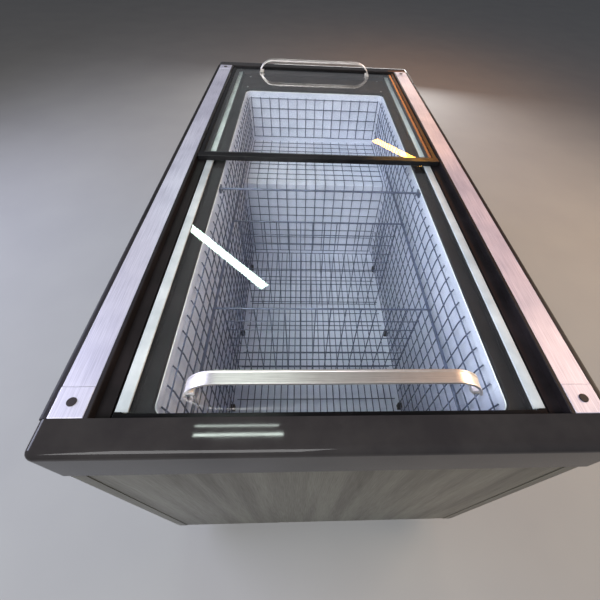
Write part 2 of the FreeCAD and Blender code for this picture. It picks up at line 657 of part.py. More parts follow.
def control_fascia():
    """The recessed fascia with its display plate, two lamps, the rocker's bezel and the knob's shaft."""
    low, high = FASCIA_Z
    flange = box((-FASCIA_X - 8, FASCIA_X + 8), (SHELL_Y, SHELL_Y + 2), (low - 8, high + 8))
    dish = box((-FASCIA_X, FASCIA_X), (FASCIA_FLOOR_Y - 2, SHELL_Y + 1), (low, high))
    hollow = box((-FASCIA_X + 2, FASCIA_X - 2), (FASCIA_FLOOR_Y, SHELL_Y + 3), (low + 2, high - 2))
    window = on_fascia(WINDOW_X, -1, 1.5, 35, 16)
    bezel = on_fascia(ROCKER_X, -1, 4, 14, 19)
    well = on_fascia(ROCKER_X, -8, 5, 11, 16)
    lamps = [pin_on_fascia(x, -1, 2, 3) for x in LAMP_X]
    shaft = pin_on_fascia(KNOB_X, -1, 12, SHAFT_R)
    fascia = flange.fuse(dish).cut(hollow).fuse([window, bezel, shaft] + lamps)
    save("control_fascia", fascia.cut(well).cut(rocker_pin(1.55, 12.7)).removeSplitter())


def thermostat_knob():
    """A fluted knob with a pointer groove and a bore for the shaft."""
    radius = 22
    knob = pin_on_fascia(KNOB_X, 1, 19, radius)
    knob = rounded(knob, 2, lambda e: e.Closed and middle(e).y > FASCIA_FLOOR_Y + 18)
    cuts = []
    for turn in range(24):
        flute = pin_on_fascia(KNOB_X + radius + 0.6, 0, 15, 1.2)
        cuts.append(flute.rotated(at(KNOB_X, 0, CONTROL_Z), at(0, 1, 0), 15 * turn + 7.5))
    cuts.append(on_fascia(KNOB_X, 18.4, 20, 1, 6.5).translated(at(0, 0, 12.5)))
    cuts.append(pin_on_fascia(KNOB_X, 0, 12.3, SHAFT_R + 0.05))
    save("thermostat_knob", knob.cut(Part.makeCompound(cuts)))


def power_rocker():
    """A rocker with a dished face, tilted to off on its pin."""
    face = [(-13.5, 0), (-15, 6.5), (0, 3.6), (15, 6.5), (13.5, 0), (0, -4)]
    outline = [(FASCIA_FLOOR_Y + 0.5 + y, CONTROL_Z + z) for z, y in face]
    rocker = along_x(outline, ROCKER_X - 10.4, ROCKER_X + 10.4)
    rocker = rocker.fuse(rocker_pin(1.5, 12.5)).removeSplitter()
    save("power_rocker", rocker.rotated(at(0, FASCIA_FLOOR_Y, CONTROL_Z), at(1, 0, 0), -7))


def controller_box():
    """The box behind the fascia, on two brackets."""
    low, high = FASCIA_Z
    back = FASCIA_FLOOR_Y - 30
    case = box((-150, 150), (back - 60, back), (low + 5, high - 5))
    case = rounded(case, 4, lambda e: is_along(e, 1))
    spans = both_sides((126.0, 140.0))
    brackets = [box(span, (back, FASCIA_FLOOR_Y - 2), (high - 20, high - 17)) for span in spans]
    save("controller_box", case.fuse(brackets))


def mains_inlet():
    """An appliance inlet with a flange and three flat pins."""
    plate = box((230, 290), (SHELL_Y, SHELL_Y + 2.5), (600, 640))
    body = box((237, 283), (SHELL_Y - 24, SHELL_Y + 1), (607, 633))
    socket = box((248, 272), (SHELL_Y - 18, SHELL_Y + 4), (611.5, 628.5))
    pins = [box((x, x + 2), (SHELL_Y - 19, SHELL_Y - 4), (617, 622)) for x in (253, 259, 265)]
    save("mains_inlet", plate.fuse(body).cut(socket).fuse(pins).removeSplitter())


def drain():
    """The drain tube from the liner's floor down through the base, and the cap that closes it from below."""
    def upright(radius, low, high):
        return rod(radius, at(DRAIN_X, DRAIN_Y, low), at(DRAIN_X, DRAIN_Y, high))

    outside = upright(DRAIN_R, DRAIN_FOOT, FLOOR_Z - LINER_WALL)
    save("drain_tube", outside.cut(upright(DRAIN_BORE, DRAIN_FOOT - 1, FLOOR_Z)))

    top = DRAIN_FOOT - 0.3
    disc = upright(16, top - 4.6, top)
    disc = rounded(disc, 1.5, lambda e: e.Closed and middle(e).z < top - 4)
    bung = upright(DRAIN_BORE - 0.1, top, DRAIN_FOOT + 20)
    save("drain_cap", disc.fuse(bung).removeSplitter())


# ---------------------------------------------------------------- wire grids

def side_grids():
    """Wires along and up each side wall; the upright ones lean to the wall at the top."""
    x = -(LINER_X - GRID_GAP) + WIRE
    wires = []
    levels = steps(264, GRID_TOP - 25, PITCH)
    for z in levels:
        far = STEP_Y - 16 if z < SHELF_Z + 15 else LINER_FAR - 18
        wires.append(rod(WIRE, at(x, LINER_NEAR + 18, z), at(x, far, z)))
    wires.append(rod(WIRE, at(x, LINER_NEAR + 18, GRID_TOP - 4), at(x, LINER_FAR - 18, GRID_TOP - 4)))
    behind = x - 2 * WIRE
    for y in steps(LINER_NEAR + 26, LINER_FAR - 22, PITCH):
        low = FLOOR_Z + 22 if y < STEP_Y - 15 else SHELF_Z + 24
        points = [at(behind, y, low), at(behind, y, GRID_TOP - 24), at(behind - 4.5, y, GRID_TOP)]
        wires.append(tube(points, WIRE, 40))
    save("left_side_grid", *wires)
    save("right_side_grid", *[mirrored(wire) for wire in wires])


def end_grid(y, facing, low):
    """An upright grid across the liner at y, its cross wires on the side that faces the middle."""
    half = 280.0
    cross_y = y + facing * 2 * WIRE
    levels = steps(low + 2, GRID_TOP, PITCH)
    wires = [rod(WIRE, at(-half - 3, cross_y, z), at(half + 3, cross_y, z)) for z in levels]
    wires += [rod(WIRE, at(x, y, low), at(x, y, GRID_TOP)) for x in steps(-half, half, PITCH)]
    return wires


def end_grids():
    near = end_grid(LINER_NEAR + GRID_GAP, 1, FLOOR_Z + 22)
    far = end_grid(LINER_FAR - GRID_GAP, -1, SHELF_Z + 24)
    save("end_grids", *(near + far))


def step_grid():
    """The grid on the step: upright wires on its face that turn over the edge and run along the shelf."""
    half = 280.0
    y = STEP_Y - GRID_GAP
    z = SHELF_Z + GRID_GAP
    wires = []
    for x in steps(-half, half, PITCH):
        points = [at(x, y, FLOOR_Z + 22), at(x, y, z), at(x, LINER_FAR - 24, z)]
        wires.append(tube(points, WIRE, 14))
    for level in steps(FLOOR_Z + 26, z - 20, PITCH):
        wires.append(rod(WIRE, at(-half - 3, y - 2 * WIRE, level), at(half + 3, y - 2 * WIRE, level)))
    for place in steps(STEP_Y + 18, LINER_FAR - 30, PITCH):
        wires.append(rod(WIRE, at(-half - 3, place, z + 2 * WIRE), at(half + 3, place, z + 2 * WIRE)))
    save("step_grid", *wires)


def floor_grid():
    """The grid that lies over the floor, its mesh longer than it is wide."""
    half = 276.0
    z = FLOOR_Z + GRID_GAP
    near, far = LINER_NEAR + 20, STEP_Y - 20
    places = steps(-FLOOR_GRID_HALF, FLOOR_GRID_HALF, FLOOR_LONG_PITCH)
    wires = [rod(WIRE, at(x, near, z), at(x, far, z)) for x in places]
    for y in steps(near + 6, far, FLOOR_CROSS_PITCH):
        wires.append(rod(WIRE, at(-half, y, z + 2 * WIRE), at(half, y, z + 2 * WIRE)))
    save("floor_grid", *wires)


def dividers():
    """Wire dividers that hang by a thick top rod from the two rails."""
    top_r = 2.5
    top_z = HANG_RAIL_Z + HANG_RAIL_R + LID_GAP + top_r
    for name, y in (("near_divider", NEAR_DIVIDER_Y), ("far_divider", FAR_DIVIDER_Y)):
        wires = [rod(top_r, at(-284, y, top_z), at(284, y, top_z))]
        for x in steps(-260, 260, PITCH):
            wires.append(rod(WIRE, at(x, y, FLOOR_Z + 28), at(x, y, top_z - top_r)))
        for z in steps(FLOOR_Z + 32, top_z - 20, PITCH):
            wires.append(rod(WIRE, at(-264, y - 2 * WIRE, z), at(264, y - 2 * WIRE, z)))
        save(name, *wires)


def interior_fittings():
    """The rails that carry the dividers, the tie rod across the mouth, and the standoff clips."""
    rail_x = LINER_X - GRID_GAP - 2 * WIRE - HANG_RAIL_R
    near, far = LINER_NEAR + 20, STEP_Y - 16
    rails = []
    for x in (-rail_x, rail_x):
        rails.append(rod(HANG_RAIL_R, at(x, near, HANG_RAIL_Z), at(x, far, HANG_RAIL_Z)))
    save("divider_rails", *rails)

    z = FOAM_TOP - 8
    bar = rod(3, at(-LINER_X + 6, TIE_ROD_Y, z), at(LINER_X - 6, TIE_ROD_Y, z))
    plate_y = (TIE_ROD_Y - 12, TIE_ROD_Y + 12)
    ends = [box(span, plate_y, (z - 9, z + 7)) for span in both_sides((LINER_X - 6, LINER_X))]
    save("tie_rod", bar, *ends)

    clips = []
    for span in both_sides((LINER_X - 18, LINER_X - 5)):
        for y in (-576.0, -264.0, 111.0):
            clip = box(span, (y - 9, y + 9), (FLOOR_Z, FLOOR_Z + 22))
            clips.append(rounded(clip, 2, lambda e: is_along(e, 2)))
    save("grid_clips", *clips)


# ---------------------------------------------------------------- sliding lids

def lid(prefix, half_x, low_y, high_y, low_bar, high_bar, low_z, glass_z, glass_thick, top_z, bar_top):
    """One lid: glass held in a frame of side profiles and end bars, and slide pads under the sides.

    low_bar and high_bar are the widths of the end bars along Y, and bar_top is the height of the wider one.
    The handle is near the end of the lid that faces away from the middle.
    """
    sides = [box(span, (low_y, high_y), (low_z, top_z)) for span in both_sides((half_x - LID_SIDE, half_x))]
    low_top = bar_top if low_bar > LID_SIDE else top_z
    bars = [box((-half_x, half_x), (low_y, low_y + low_bar), (low_z, low_top)),
            box((-half_x, half_x), (high_y - high_bar, high_y), (low_z, top_z))]
    pane_x = half_x - LID_SIDE + GLASS_IN
    pane_y = (low_y + low_bar - GLASS_IN, high_y - high_bar + GLASS_IN)
    pane = box((-pane_x, pane_x), pane_y, (glass_z, glass_z + glass_thick))
    frame = sides[0].fuse([sides[1]] + bars).removeSplitter()
    frame = rounded(frame, 2, lambda e: is_along(e, 2) and abs(middle(e).x) > half_x - 0.1)

    def low_bar_top(edge):
        spot = middle(edge)
        return is_along(edge, 0) and spot.z > low_top - 0.1 and spot.y < low_y + low_bar + 1

    frame = rounded(frame, 1.2, low_bar_top)
    save(prefix + "_frame", frame.cut(pane))

    handle_y = math.copysign(HANDLE_Y, low_y + high_y)
    for x in (-HANDLE_SCREW_X, HANDLE_SCREW_X):
        pane = pane.cut(rod(3.2, at(x, handle_y, glass_z - 1), at(x, handle_y, top_z + 1)))
    save(prefix + "_glass", pane)

    pads = []
    for span in both_sides((half_x - 10, half_x - 2)):
        for y in (low_y + 30, high_y - 70):
            pads.append(box(span, (y, y + 40), (low_z - 2 + LID_GAP, low_z)))
    save(prefix + "_pads", *pads)
    handle(prefix, handle_y, glass_z, glass_z + glass_thick)


def bend(side, top, reach, rise):
    """Three points on the arc at one end of the bow, which drops by rise as it goes out to reach."""
    run = reach - HANDLE_FLAT
    radius = (run ** 2 + rise ** 2) / (2 * rise)
    foot_angle = math.asin(run / radius)
    points = []
    for angle in (0, foot_angle / 2, foot_angle):
        x = HANDLE_FLAT + radius * math.sin(angle)
        points.append(at(side * x, 0, top + rise - radius + radius * math.cos(angle)))
    return points


def handle(prefix, y, under, top):
    """A bow handle of flat bar, with its screws and washers through the glass."""
    inner_rise = HANDLE_RISE - HANDLE_THICK
    edges = []
    for side in (-1, 1):
        outer = bend(side, top, HANDLE_HALF, HANDLE_RISE)
        inner = bend(side, top, HANDLE_HALF - HANDLE_FOOT, inner_rise)
        edges += [Part.Arc(*outer).toShape(), Part.Arc(*inner).toShape()]
        edges.append(Part.LineSegment(outer[2], inner[2]).toShape())
    for z in (top + HANDLE_RISE, top + inner_rise):
        edges.append(Part.LineSegment(at(-HANDLE_FLAT, 0, z), at(HANDLE_FLAT, 0, z)).toShape())
    side_view = Part.Face(Part.Wire(Part.__sortEdges__(edges)))
    bow = side_view.extrude(at(0, HANDLE_WIDE, 0)).translated(at(0, y - HANDLE_WIDE / 2, 0))

    fixings = []
    for x in (-HANDLE_SCREW_X, HANDLE_SCREW_X):
        bow = bow.cut(rod(2.5, at(x, y, top - 1), at(x, y, top + 10)))
        screw = rod(2.5, at(x, y, under - 1.2), at(x, y, top + 9))
        head = rod(5, at(x, y, under - 2.2), at(x, y, under - 1.2))
        fixings.append(screw.fuse(head).removeSplitter())
        washer = rod(9, at(x, y, under - 1.2), at(x, y, under))
        fixings.append(washer.cut(rod(2.5, at(x, y, under - 2), at(x, y, under + 1))))
    save(prefix + "_handle", bow)
    save(prefix + "_handle_fixings", *fixings)


def lids():
    lid("upper_lid", UPPER_LID_X, -28, LID_END, 25, LID_SIDE, UPPER_TRACK + 2, 838.5, 5, 846, RIM_TOP)
    lid("lower_lid", LOWER_LID_X, -LID_END, 30, LID_SIDE, 25, LOWER_TRACK + 2, 826.5, 4, 833, 833)


os.makedirs("parts", exist_ok=True)
feet()
base()
side_panels()
near_end_panel()
far_end_panels()
corner_posts()
foam()
liner()
evaporator()
breaker_rim()
side_rails()
side_trims()
corner_covers()
end_mouldings()
machine_cover()
compressor()
condenser()
fan()
refrigerant_parts()
drip_tray()
control_fascia()
thermostat_knob()
power_rocker()
controller_box()
mains_inlet()
drain()
side_grids()
end_grids()
step_grid()
floor_grid()
dividers()
interior_fittings()
lids()
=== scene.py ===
# %% [markdown]
# # A glass-top chest freezer with two sliding lids
# The hard parts of this freezer come from CAD as a fixed frame: one mesh for each sub-part, in metres, with
# X across, Y along the length and Z up from the floor. Nothing in the frame is moved here. This lesson gives
# every surface its real finish, models the pieces that CAD left plain, and sets up the light and the camera.

# %% Load the frame
import json
import math

import bmesh
import bpy
from mathutils import Matrix, Vector


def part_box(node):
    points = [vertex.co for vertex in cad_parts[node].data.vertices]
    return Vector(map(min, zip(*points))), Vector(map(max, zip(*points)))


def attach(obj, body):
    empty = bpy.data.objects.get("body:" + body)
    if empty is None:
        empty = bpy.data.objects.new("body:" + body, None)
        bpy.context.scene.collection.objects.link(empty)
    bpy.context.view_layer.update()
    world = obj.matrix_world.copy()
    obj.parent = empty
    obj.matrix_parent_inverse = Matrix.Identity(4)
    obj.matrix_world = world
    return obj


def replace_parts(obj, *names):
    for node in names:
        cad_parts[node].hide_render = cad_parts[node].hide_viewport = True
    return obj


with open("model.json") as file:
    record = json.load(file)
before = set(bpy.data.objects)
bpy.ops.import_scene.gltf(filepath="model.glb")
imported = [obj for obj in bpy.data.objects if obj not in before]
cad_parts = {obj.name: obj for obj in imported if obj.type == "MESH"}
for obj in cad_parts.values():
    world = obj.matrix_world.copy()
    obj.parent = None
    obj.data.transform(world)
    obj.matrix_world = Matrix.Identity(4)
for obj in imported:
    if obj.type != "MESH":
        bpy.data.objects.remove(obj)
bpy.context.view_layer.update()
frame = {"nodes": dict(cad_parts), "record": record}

nodes = frame["nodes"]
slot_of = {part["node"]: part["material_slot"] for part in frame["record"]["subparts"]}

# %% [markdown]
# ## Two helpers for materials
# A shader is a small network of nodes. One function that adds a node, with its settings and whatever is
# linked to it, keeps each finish readable. Colours are written as the hex values that a paint chart gives,
# but shaders work in linear light, so one more function converts them.

# %% Helpers for materials
MM = 0.001


def linear(hex_colour):
    """An sRGB hex colour as the linear RGBA that a shader socket takes."""
    parts = [int(hex_colour[i:i + 2], 16) / 255 for i in (1, 3, 5)]
    return [p / 12.92 if p <= 0.04045 else ((p + 0.055) / 1.055) ** 2.4 for p in parts] + [1.0]


def add(tree, kind, inputs=None, **settings):
    """Adds a node. An input is a plain value, another node (its first output) or one of its outputs."""
    node = tree.nodes.new("ShaderNode" + kind)
    for name, value in settings.items():
        setattr(node, name, value)
    for name, value in (inputs or {}).items():
        if isinstance(value, bpy.types.Node):
            value = value.outputs[0]
        if isinstance(value, bpy.types.NodeSocket):
            tree.links.new(value, node.inputs[name])
        else:
            node.inputs[name].default_value = value
    return node


def start_material(name, sockets):
    """A new material: itself, its node tree, its main shader, and the place on the piece in metres."""
    made = bpy.data.materials.new(name)
    made.use_nodes = True
    tree = made.node_tree
    shader = tree.nodes["Principled BSDF"]
    for socket, value in sockets.items():
        shader.inputs[socket].default_value = value
    place = add(tree, "TexCoord").outputs["Object"]
    return made, tree, shader, place


# %% [markdown]
# ## Brushed and rolled metal
# Brushing drags grit along the metal, so the marks are very long one way and hair-thin the other. A noise
# pattern that is stretched along the brushing does the same: it colours the metal a little, makes it
# rougher and smoother in lines, and lifts it by a few hundredths of a millimetre. A second, much larger
# noise is the handling: cloudy smears where the sheet was wiped. The lines are drawn about 1 mm wide,
# coarser than real grit, because thinner ones would vanish at this distance.

# %% Metal finishes
def brushed(name, dark, light, grain, rough, smear, metal=1.0):
    """Brushed metal. grain is the size of one mark in mm along X, Y and Z, and smear the size of a cloud."""
    made, tree, shader, place = start_material(name, {"Metallic": metal})
    scale = [1 / (size * MM) for size in grain]
    lines = add(tree, "TexNoise", {"Vector": add(tree, "Mapping", {"Vector": place, "Scale": scale}),
                                   "Scale": 1.0, "Detail": 3.0, "Roughness": 0.6})
    cloud = add(tree, "TexNoise", {"Vector": place, "Scale": 1 / (smear * MM), "Detail": 4.0})
    both = add(tree, "Math", {0: lines, 1: cloud}, operation="ADD")
    share = add(tree, "MapRange", {"Value": both, "From Min": 0.75, "From Max": 1.25})
    colour = add(tree, "MixRGB", {"Fac": share, "Color1": linear(dark), "Color2": linear(light)})
    shine = add(tree, "MapRange", {"Value": both, "From Min": 0.7, "From Max": 1.3,
                                   "To Min": rough[1], "To Max": rough[0]})
    bump = add(tree, "Bump", {"Height": lines, "Strength": 0.25, "Distance": 0.05 * MM})
    tree.links.new(colour.outputs[0], shader.inputs["Base Color"])
    tree.links.new(shine.outputs[0], shader.inputs["Roughness"])
    tree.links.new(bump.outputs[0], shader.inputs["Normal"])
    return made


finish = {
    "trim_satin": brushed("satin_anodised_aluminium_strip", "#aeacbf", "#dcdaea", (1.2, 90, 1.2),
                          (0.30, 0.44), 160, metal=0.55),
    "handle_satin": brushed("brushed_aluminium_flat_bar", "#c4bebb", "#ece7e4", (60, 0.9, 0.9),
                            (0.34, 0.48), 70),
    "fin_aluminium": brushed("mill_finish_aluminium", "#a9adb3", "#d5d9de", (2, 2, 25), (0.25, 0.42), 60),
    "zinc_steel": brushed("zinc_plated_steel", "#8f9296", "#c4c6c2", (2, 2, 2), (0.28, 0.45), 12),
    "motor_steel": brushed("galvanised_motor_steel", "#7c7e80", "#a9abac", (4, 4, 4), (0.35, 0.5), 20),
    "copper_tube": brushed("drawn_copper_tube", "#9c5a3a", "#d08a5e", (2, 18, 2), (0.22, 0.42), 45),
}
print("metals:", ", ".join(material.name for material in finish.values()))

# %% [markdown]
# ## The near end sheet
# The near end is a plain stainless sheet, brushed upwards. Besides the brushing it shows broad upright streaks
# 20 to 60 mm wide, lighter and darker. In the last few centimetres under the moulding it is darker and mottled:
# that band is painted shade from the moulding's lip, with a mottle in it. So this finish has its own network:
# fine lines, wide streaks, and a band of painted shade that is mixed in by height.

# %% End sheet finish
def end_sheet():
    made, tree, shader, place = start_material("streaked_stainless_sheet_painted_shade", {"Metallic": 0.9})
    up = add(tree, "Mapping", {"Vector": place, "Scale": (1 / (1.4 * MM), 1 / (1.4 * MM), 1 / (70 * MM))})
    lines = add(tree, "TexNoise", {"Vector": up, "Scale": 1.0, "Detail": 3.0})
    wide = add(tree, "Mapping", {"Vector": place, "Scale": (1 / (42 * MM), 1 / (42 * MM), 1 / (900 * MM))})
    streaks = add(tree, "TexNoise", {"Vector": wide, "Scale": 1.0, "Detail": 4.0})
    mottle = add(tree, "TexNoise", {"Vector": place, "Scale": 1 / (9 * MM), "Detail": 5.0})
    height = add(tree, "SeparateXYZ", {"Vector": place}).outputs["Z"]
    moulding_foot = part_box("near_end_moulding")[0].z
    # Painted shade: the sheet is darkened in a band up to the moulding's foot, where the moulding's lip shades
    # it.
    painted_shade_band = add(tree, "MapRange", {"Value": height, "From Min": moulding_foot - 36 * MM,
                                  "From Max": moulding_foot - 22 * MM})
    light = add(tree, "MapRange", {"Value": streaks, "From Min": 0.34, "From Max": 0.68})
    clean = add(tree, "MixRGB", {"Fac": light, "Color1": linear("#625f57"), "Color2": linear("#817f74")})
    fine = add(tree, "MixRGB", {"Fac": 0.35, "Color1": clean, "Color2": lines}, blend_type="SOFT_LIGHT")
    # Painted shade: the darker, mottled colour that is mixed into the band under the moulding.
    shaded_mottle_colour = add(tree, "MixRGB", {"Fac": mottle, "Color1": linear("#4a453d"), "Color2": linear("#736d63")})
    share = add(tree, "Math", {0: painted_shade_band, 1: 0.7}, operation="MULTIPLY")
    colour = add(tree, "MixRGB", {"Fac": share, "Color1": fine, "Color2": shaded_mottle_colour})
    worn = add(tree, "Math", {0: lines, 1: streaks}, operation="ADD")
    rough = add(tree, "MapRange", {"Value": worn, "From Min": 0.6, "From Max": 1.4,
                                   "To Min": 0.48, "To Max": 0.30})
    bump = add(tree, "Bump", {"Height": lines, "Strength": 0.3, "Distance": 0.05 * MM})
    tree.links.new(colour.outputs[0], shader.inputs["Base Color"])
    tree.links.new(rough.outputs[0], shader.inputs["Roughness"])
    tree.links.new(bump.outputs[0], shader.inputs["Normal"])
    return made


finish["end_sheet"] = end_sheet()
print("end sheet:", finish["end_sheet"].name)

# %% [markdown]
# ## Painted and coated steel
# Powder coat melts into a skin with a faint orange peel, bumps about 1.5 to 3 mm across, and picks up dust
# and scuffs in patches. The wire grids are dipped in the same kind of coat, thick enough to soften every
# weld, in a slate blue-grey. One function makes them all from a colour pair, the peel size and the gloss.

# %% Coated finishes
def powder_coat(name, dark, light, peel, rough, patch, coat=0.0):
    """Coated steel. peel is the width in mm of its orange peel, and patch that of its cloudy wear."""
    made, tree, shader, place = start_material(name, {"Coat Weight": coat, "Coat Roughness": 0.12})
    skin = add(tree, "TexNoise", {"Vector": place, "Scale": 1 / (peel * MM), "Detail": 2.0})
    wear = add(tree, "TexNoise", {"Vector": place, "Scale": 1 / (patch * MM), "Detail": 6.0,
                                  "Roughness": 0.62})
    share = add(tree, "MapRange", {"Value": wear, "From Min": 0.35, "From Max": 0.68})
    colour = add(tree, "MixRGB", {"Fac": share, "Color1": linear(dark), "Color2": linear(light)})
    shine = add(tree, "MapRange", {"Value": wear, "From Min": 0.3, "From Max": 0.7,
                                   "To Min": rough[0], "To Max": rough[1]})
    bump = add(tree, "Bump", {"Height": skin, "Strength": 0.2, "Distance": 0.1 * MM})
    tree.links.new(colour.outputs[0], shader.inputs["Base Color"])
    tree.links.new(shine.outputs[0], shader.inputs["Roughness"])
    tree.links.new(bump.outputs[0], shader.inputs["Normal"])
    return made


finish["side_sheet"] = powder_coat("grey_powder_coated_sheet", "#67686b", "#737477", 2.4, (0.40, 0.48), 90)
finish["base_steel"] = powder_coat("dark_powder_coated_steel", "#36383a", "#4d4f50", 1.8, (0.45, 0.62), 60)
finish["compressor_black"] = powder_coat("compressor_black_enamel", "#101112", "#232425", 2.6,
                                         (0.25, 0.45), 40, coat=0.4)
finish["grid_coating"] = powder_coat("slate_dipped_wire_coating", "#2b3148", "#4a516b", 4.0,
                                     (0.30, 0.46), 26, coat=0.2)
print("coated: 4 finishes")

# %% [markdown]
# ## Moulded and extruded plastics
# A mould leaves one of two skins. A polished mould leaves gloss, where only broad flow marks and fine wipe
# scratches break the reflection. A spark-textured mould leaves a satin grain of about half a millimetre,
# drawn here at 0.8 to 1.5 mm so that it still shows. Colour varies little through a moulded part, but dust
# lifts it in patches.

# %% Plastic finishes
def moulded(name, dark, light, grain, rough, depth, sockets=None):
    """Moulded plastic. grain is the width in mm of the mould's texture, and depth its bump in mm."""
    made, tree, shader, place = start_material(name, {"IOR": 1.5, **(sockets or {})})
    cells = add(tree, "TexVoronoi", {"Vector": place, "Scale": 1 / (grain * MM)}, feature="SMOOTH_F1")
    dust = add(tree, "TexNoise", {"Vector": place, "Scale": 1 / (110 * MM), "Detail": 6.0,
                                  "Roughness": 0.65})
    share = add(tree, "MapRange", {"Value": dust, "From Min": 0.38, "From Max": 0.7})
    colour = add(tree, "MixRGB", {"Fac": share, "Color1": linear(dark), "Color2": linear(light)})
    shine = add(tree, "MapRange", {"Value": dust, "From Min": 0.35, "From Max": 0.65,
                                   "To Min": rough[0], "To Max": rough[1]})
    bump = add(tree, "Bump", {"Height": cells, "Strength": 0.3, "Distance": depth * MM})
    tree.links.new(colour.outputs[0], shader.inputs["Base Color"])
    tree.links.new(shine.outputs[0], shader.inputs["Roughness"])
    tree.links.new(bump.outputs[0], shader.inputs["Normal"])
    return made


GLOSS = {"Coat Weight": 0.05, "Coat Roughness": 0.03, "Specular IOR Level": 0.11}
finish["charcoal_moulding"] = moulded("gloss_charcoal_abs", "#272526", "#302e2e", 60, (0.03, 0.06), 0.05, GLOSS)
finish["lid_frame_black"] = moulded("gloss_black_extruded_pvc", "#131314", "#1d1d1f", 45, (0.14, 0.26),
                                    0.04, GLOSS)
finish["rail_dark"] = moulded("satin_dark_extruded_pvc", "#120f11", "#1e191c", 1.5, (0.44, 0.58), 0.03,
                              {"Specular IOR Level": 0.2})
finish["cover_dark"] = moulded("grained_dark_abs_deck", "#1a1314", "#271e1f", 1.5, (0.46, 0.60), 0.06,
                               {"Specular IOR Level": 0.25})
finish["fan_plastic"] = moulded("moulded_black_polypropylene", "#1b1b1d", "#2c2c2e", 1.2, (0.38, 0.5), 0.04)
finish["tray_grey"] = moulded("grey_polypropylene_tray", "#5a5c60", "#6d6f72", 1.2, (0.4, 0.55), 0.04)
finish["control_black"] = moulded("textured_black_abs", "#18181a", "#29292b", 0.8, (0.42, 0.56), 0.05)
finish["knob_black"] = moulded("soft_satin_black_nylon", "#121213", "#202022", 0.8, (0.34, 0.46), 0.03)
finish["box_grey"] = moulded("grey_abs_control_box", "#86878a", "#999a9b", 1.0, (0.42, 0.58), 0.05)
finish["drain_white"] = moulded("white_polypropylene_pipe", "#c9c9c4", "#dcdcd8", 1.4, (0.34, 0.48), 0.03)
finish["slide_pad"] = moulded("natural_nylon_pad", "#cfcabd", "#e2dfd5", 1.0, (0.32, 0.44), 0.03)
finish["pad_rubber"] = moulded("moulded_black_rubber", "#141414", "#262523", 1.3, (0.62, 0.8), 0.08)
gasket_rubber = moulded("extruded_epdm_gasket", "#0b0b0c", "#171718", 1.2, (0.5, 0.66), 0.05)
print("plastics: 12 finishes and the gasket rubber")

# %% [markdown]
# ## The white liner
# The liner is vacuum-formed polystyrene: white with a lavender cast, softly glossy, and scuffed by years of
# baskets. It lets a little light in before giving it back, so its shadows are not grey but slightly warm.
# Long scuffs run up and down where goods slide, and frost leaves paler clouds.

# %% Liner finish
def liner_plastic():
    made, tree, shader, place = start_material("vacuum_formed_white_polystyrene", {"IOR": 1.55})
    frost = add(tree, "TexNoise", {"Vector": place, "Scale": 1 / (190 * MM), "Detail": 5.0})
    tall = add(tree, "Mapping", {"Vector": place, "Scale": (1 / (6 * MM), 1 / (6 * MM), 1 / (70 * MM))})
    scuffs = add(tree, "TexNoise", {"Vector": tall, "Scale": 1.0, "Detail": 4.0, "Roughness": 0.7})
    pale = add(tree, "MixRGB", {"Fac": frost, "Color1": linear("#b4b6cb"), "Color2": linear("#d3d4e6")})
    marks = add(tree, "MapRange", {"Value": scuffs, "From Min": 0.62, "From Max": 0.78,
                                   "To Min": 0.0, "To Max": 0.45})
    colour = add(tree, "MixRGB", {"Fac": marks, "Color1": pale, "Color2": linear("#9d9dae")})
    rough = add(tree, "MapRange", {"Value": scuffs, "From Min": 0.3, "From Max": 0.75,
                                   "To Min": 0.24, "To Max": 0.46})
    bump = add(tree, "Bump", {"Height": frost, "Strength": 0.15, "Distance": 0.6 * MM})
    tree.links.new(colour.outputs[0], shader.inputs["Base Color"])
    tree.links.new(rough.outputs[0], shader.inputs["Roughness"])
    tree.links.new(bump.outputs[0], shader.inputs["Normal"])
    return made


finish["liner_white"] = liner_plastic()
print("liner:", finish["liner_white"].name)

# %% [markdown]
# ## Foam
# Poured polyurethane foam is cream, yellows where it saw air, and its cut skin is full of pores about
# 2 mm across. It only shows inside the machine room.

# %% Foam finish
def poured_foam():
    made, tree, shader, place = start_material("poured_polyurethane_foam", {"Roughness": 0.85})
    pores = add(tree, "TexVoronoi", {"Vector": place, "Scale": 1 / (2.2 * MM)})
    age = add(tree, "TexNoise", {"Vector": place, "Scale": 1 / (120 * MM), "Detail": 4.0})
    colour = add(tree, "MixRGB", {"Fac": age, "Color1": linear("#cdb478"), "Color2": linear("#e6d6a6")})
    bump = add(tree, "Bump", {"Height": pores, "Strength": 0.6, "Distance": 0.5 * MM})
    tree.links.new(colour.outputs[0], shader.inputs["Base Color"])
    tree.links.new(bump.outputs[0], shader.inputs["Normal"])
    return made


finish["foam"] = poured_foam()
print("foam:", finish["foam"].name)

# %% [markdown]
# ## The lid glass
# The lids are flat tempered float glass, 4 and 5 mm thick, with a faint green tint and the smears that
# hands leave. Float glass is as flat as a mirror, so its roughness stays 0, and the smears only dim what
# shows through it. Light that goes through a pane to light what is under it would be very noisy to trace,
# so a Light Path node lets rays to lamps pass straight through, which is what thin flat glass does anyway.

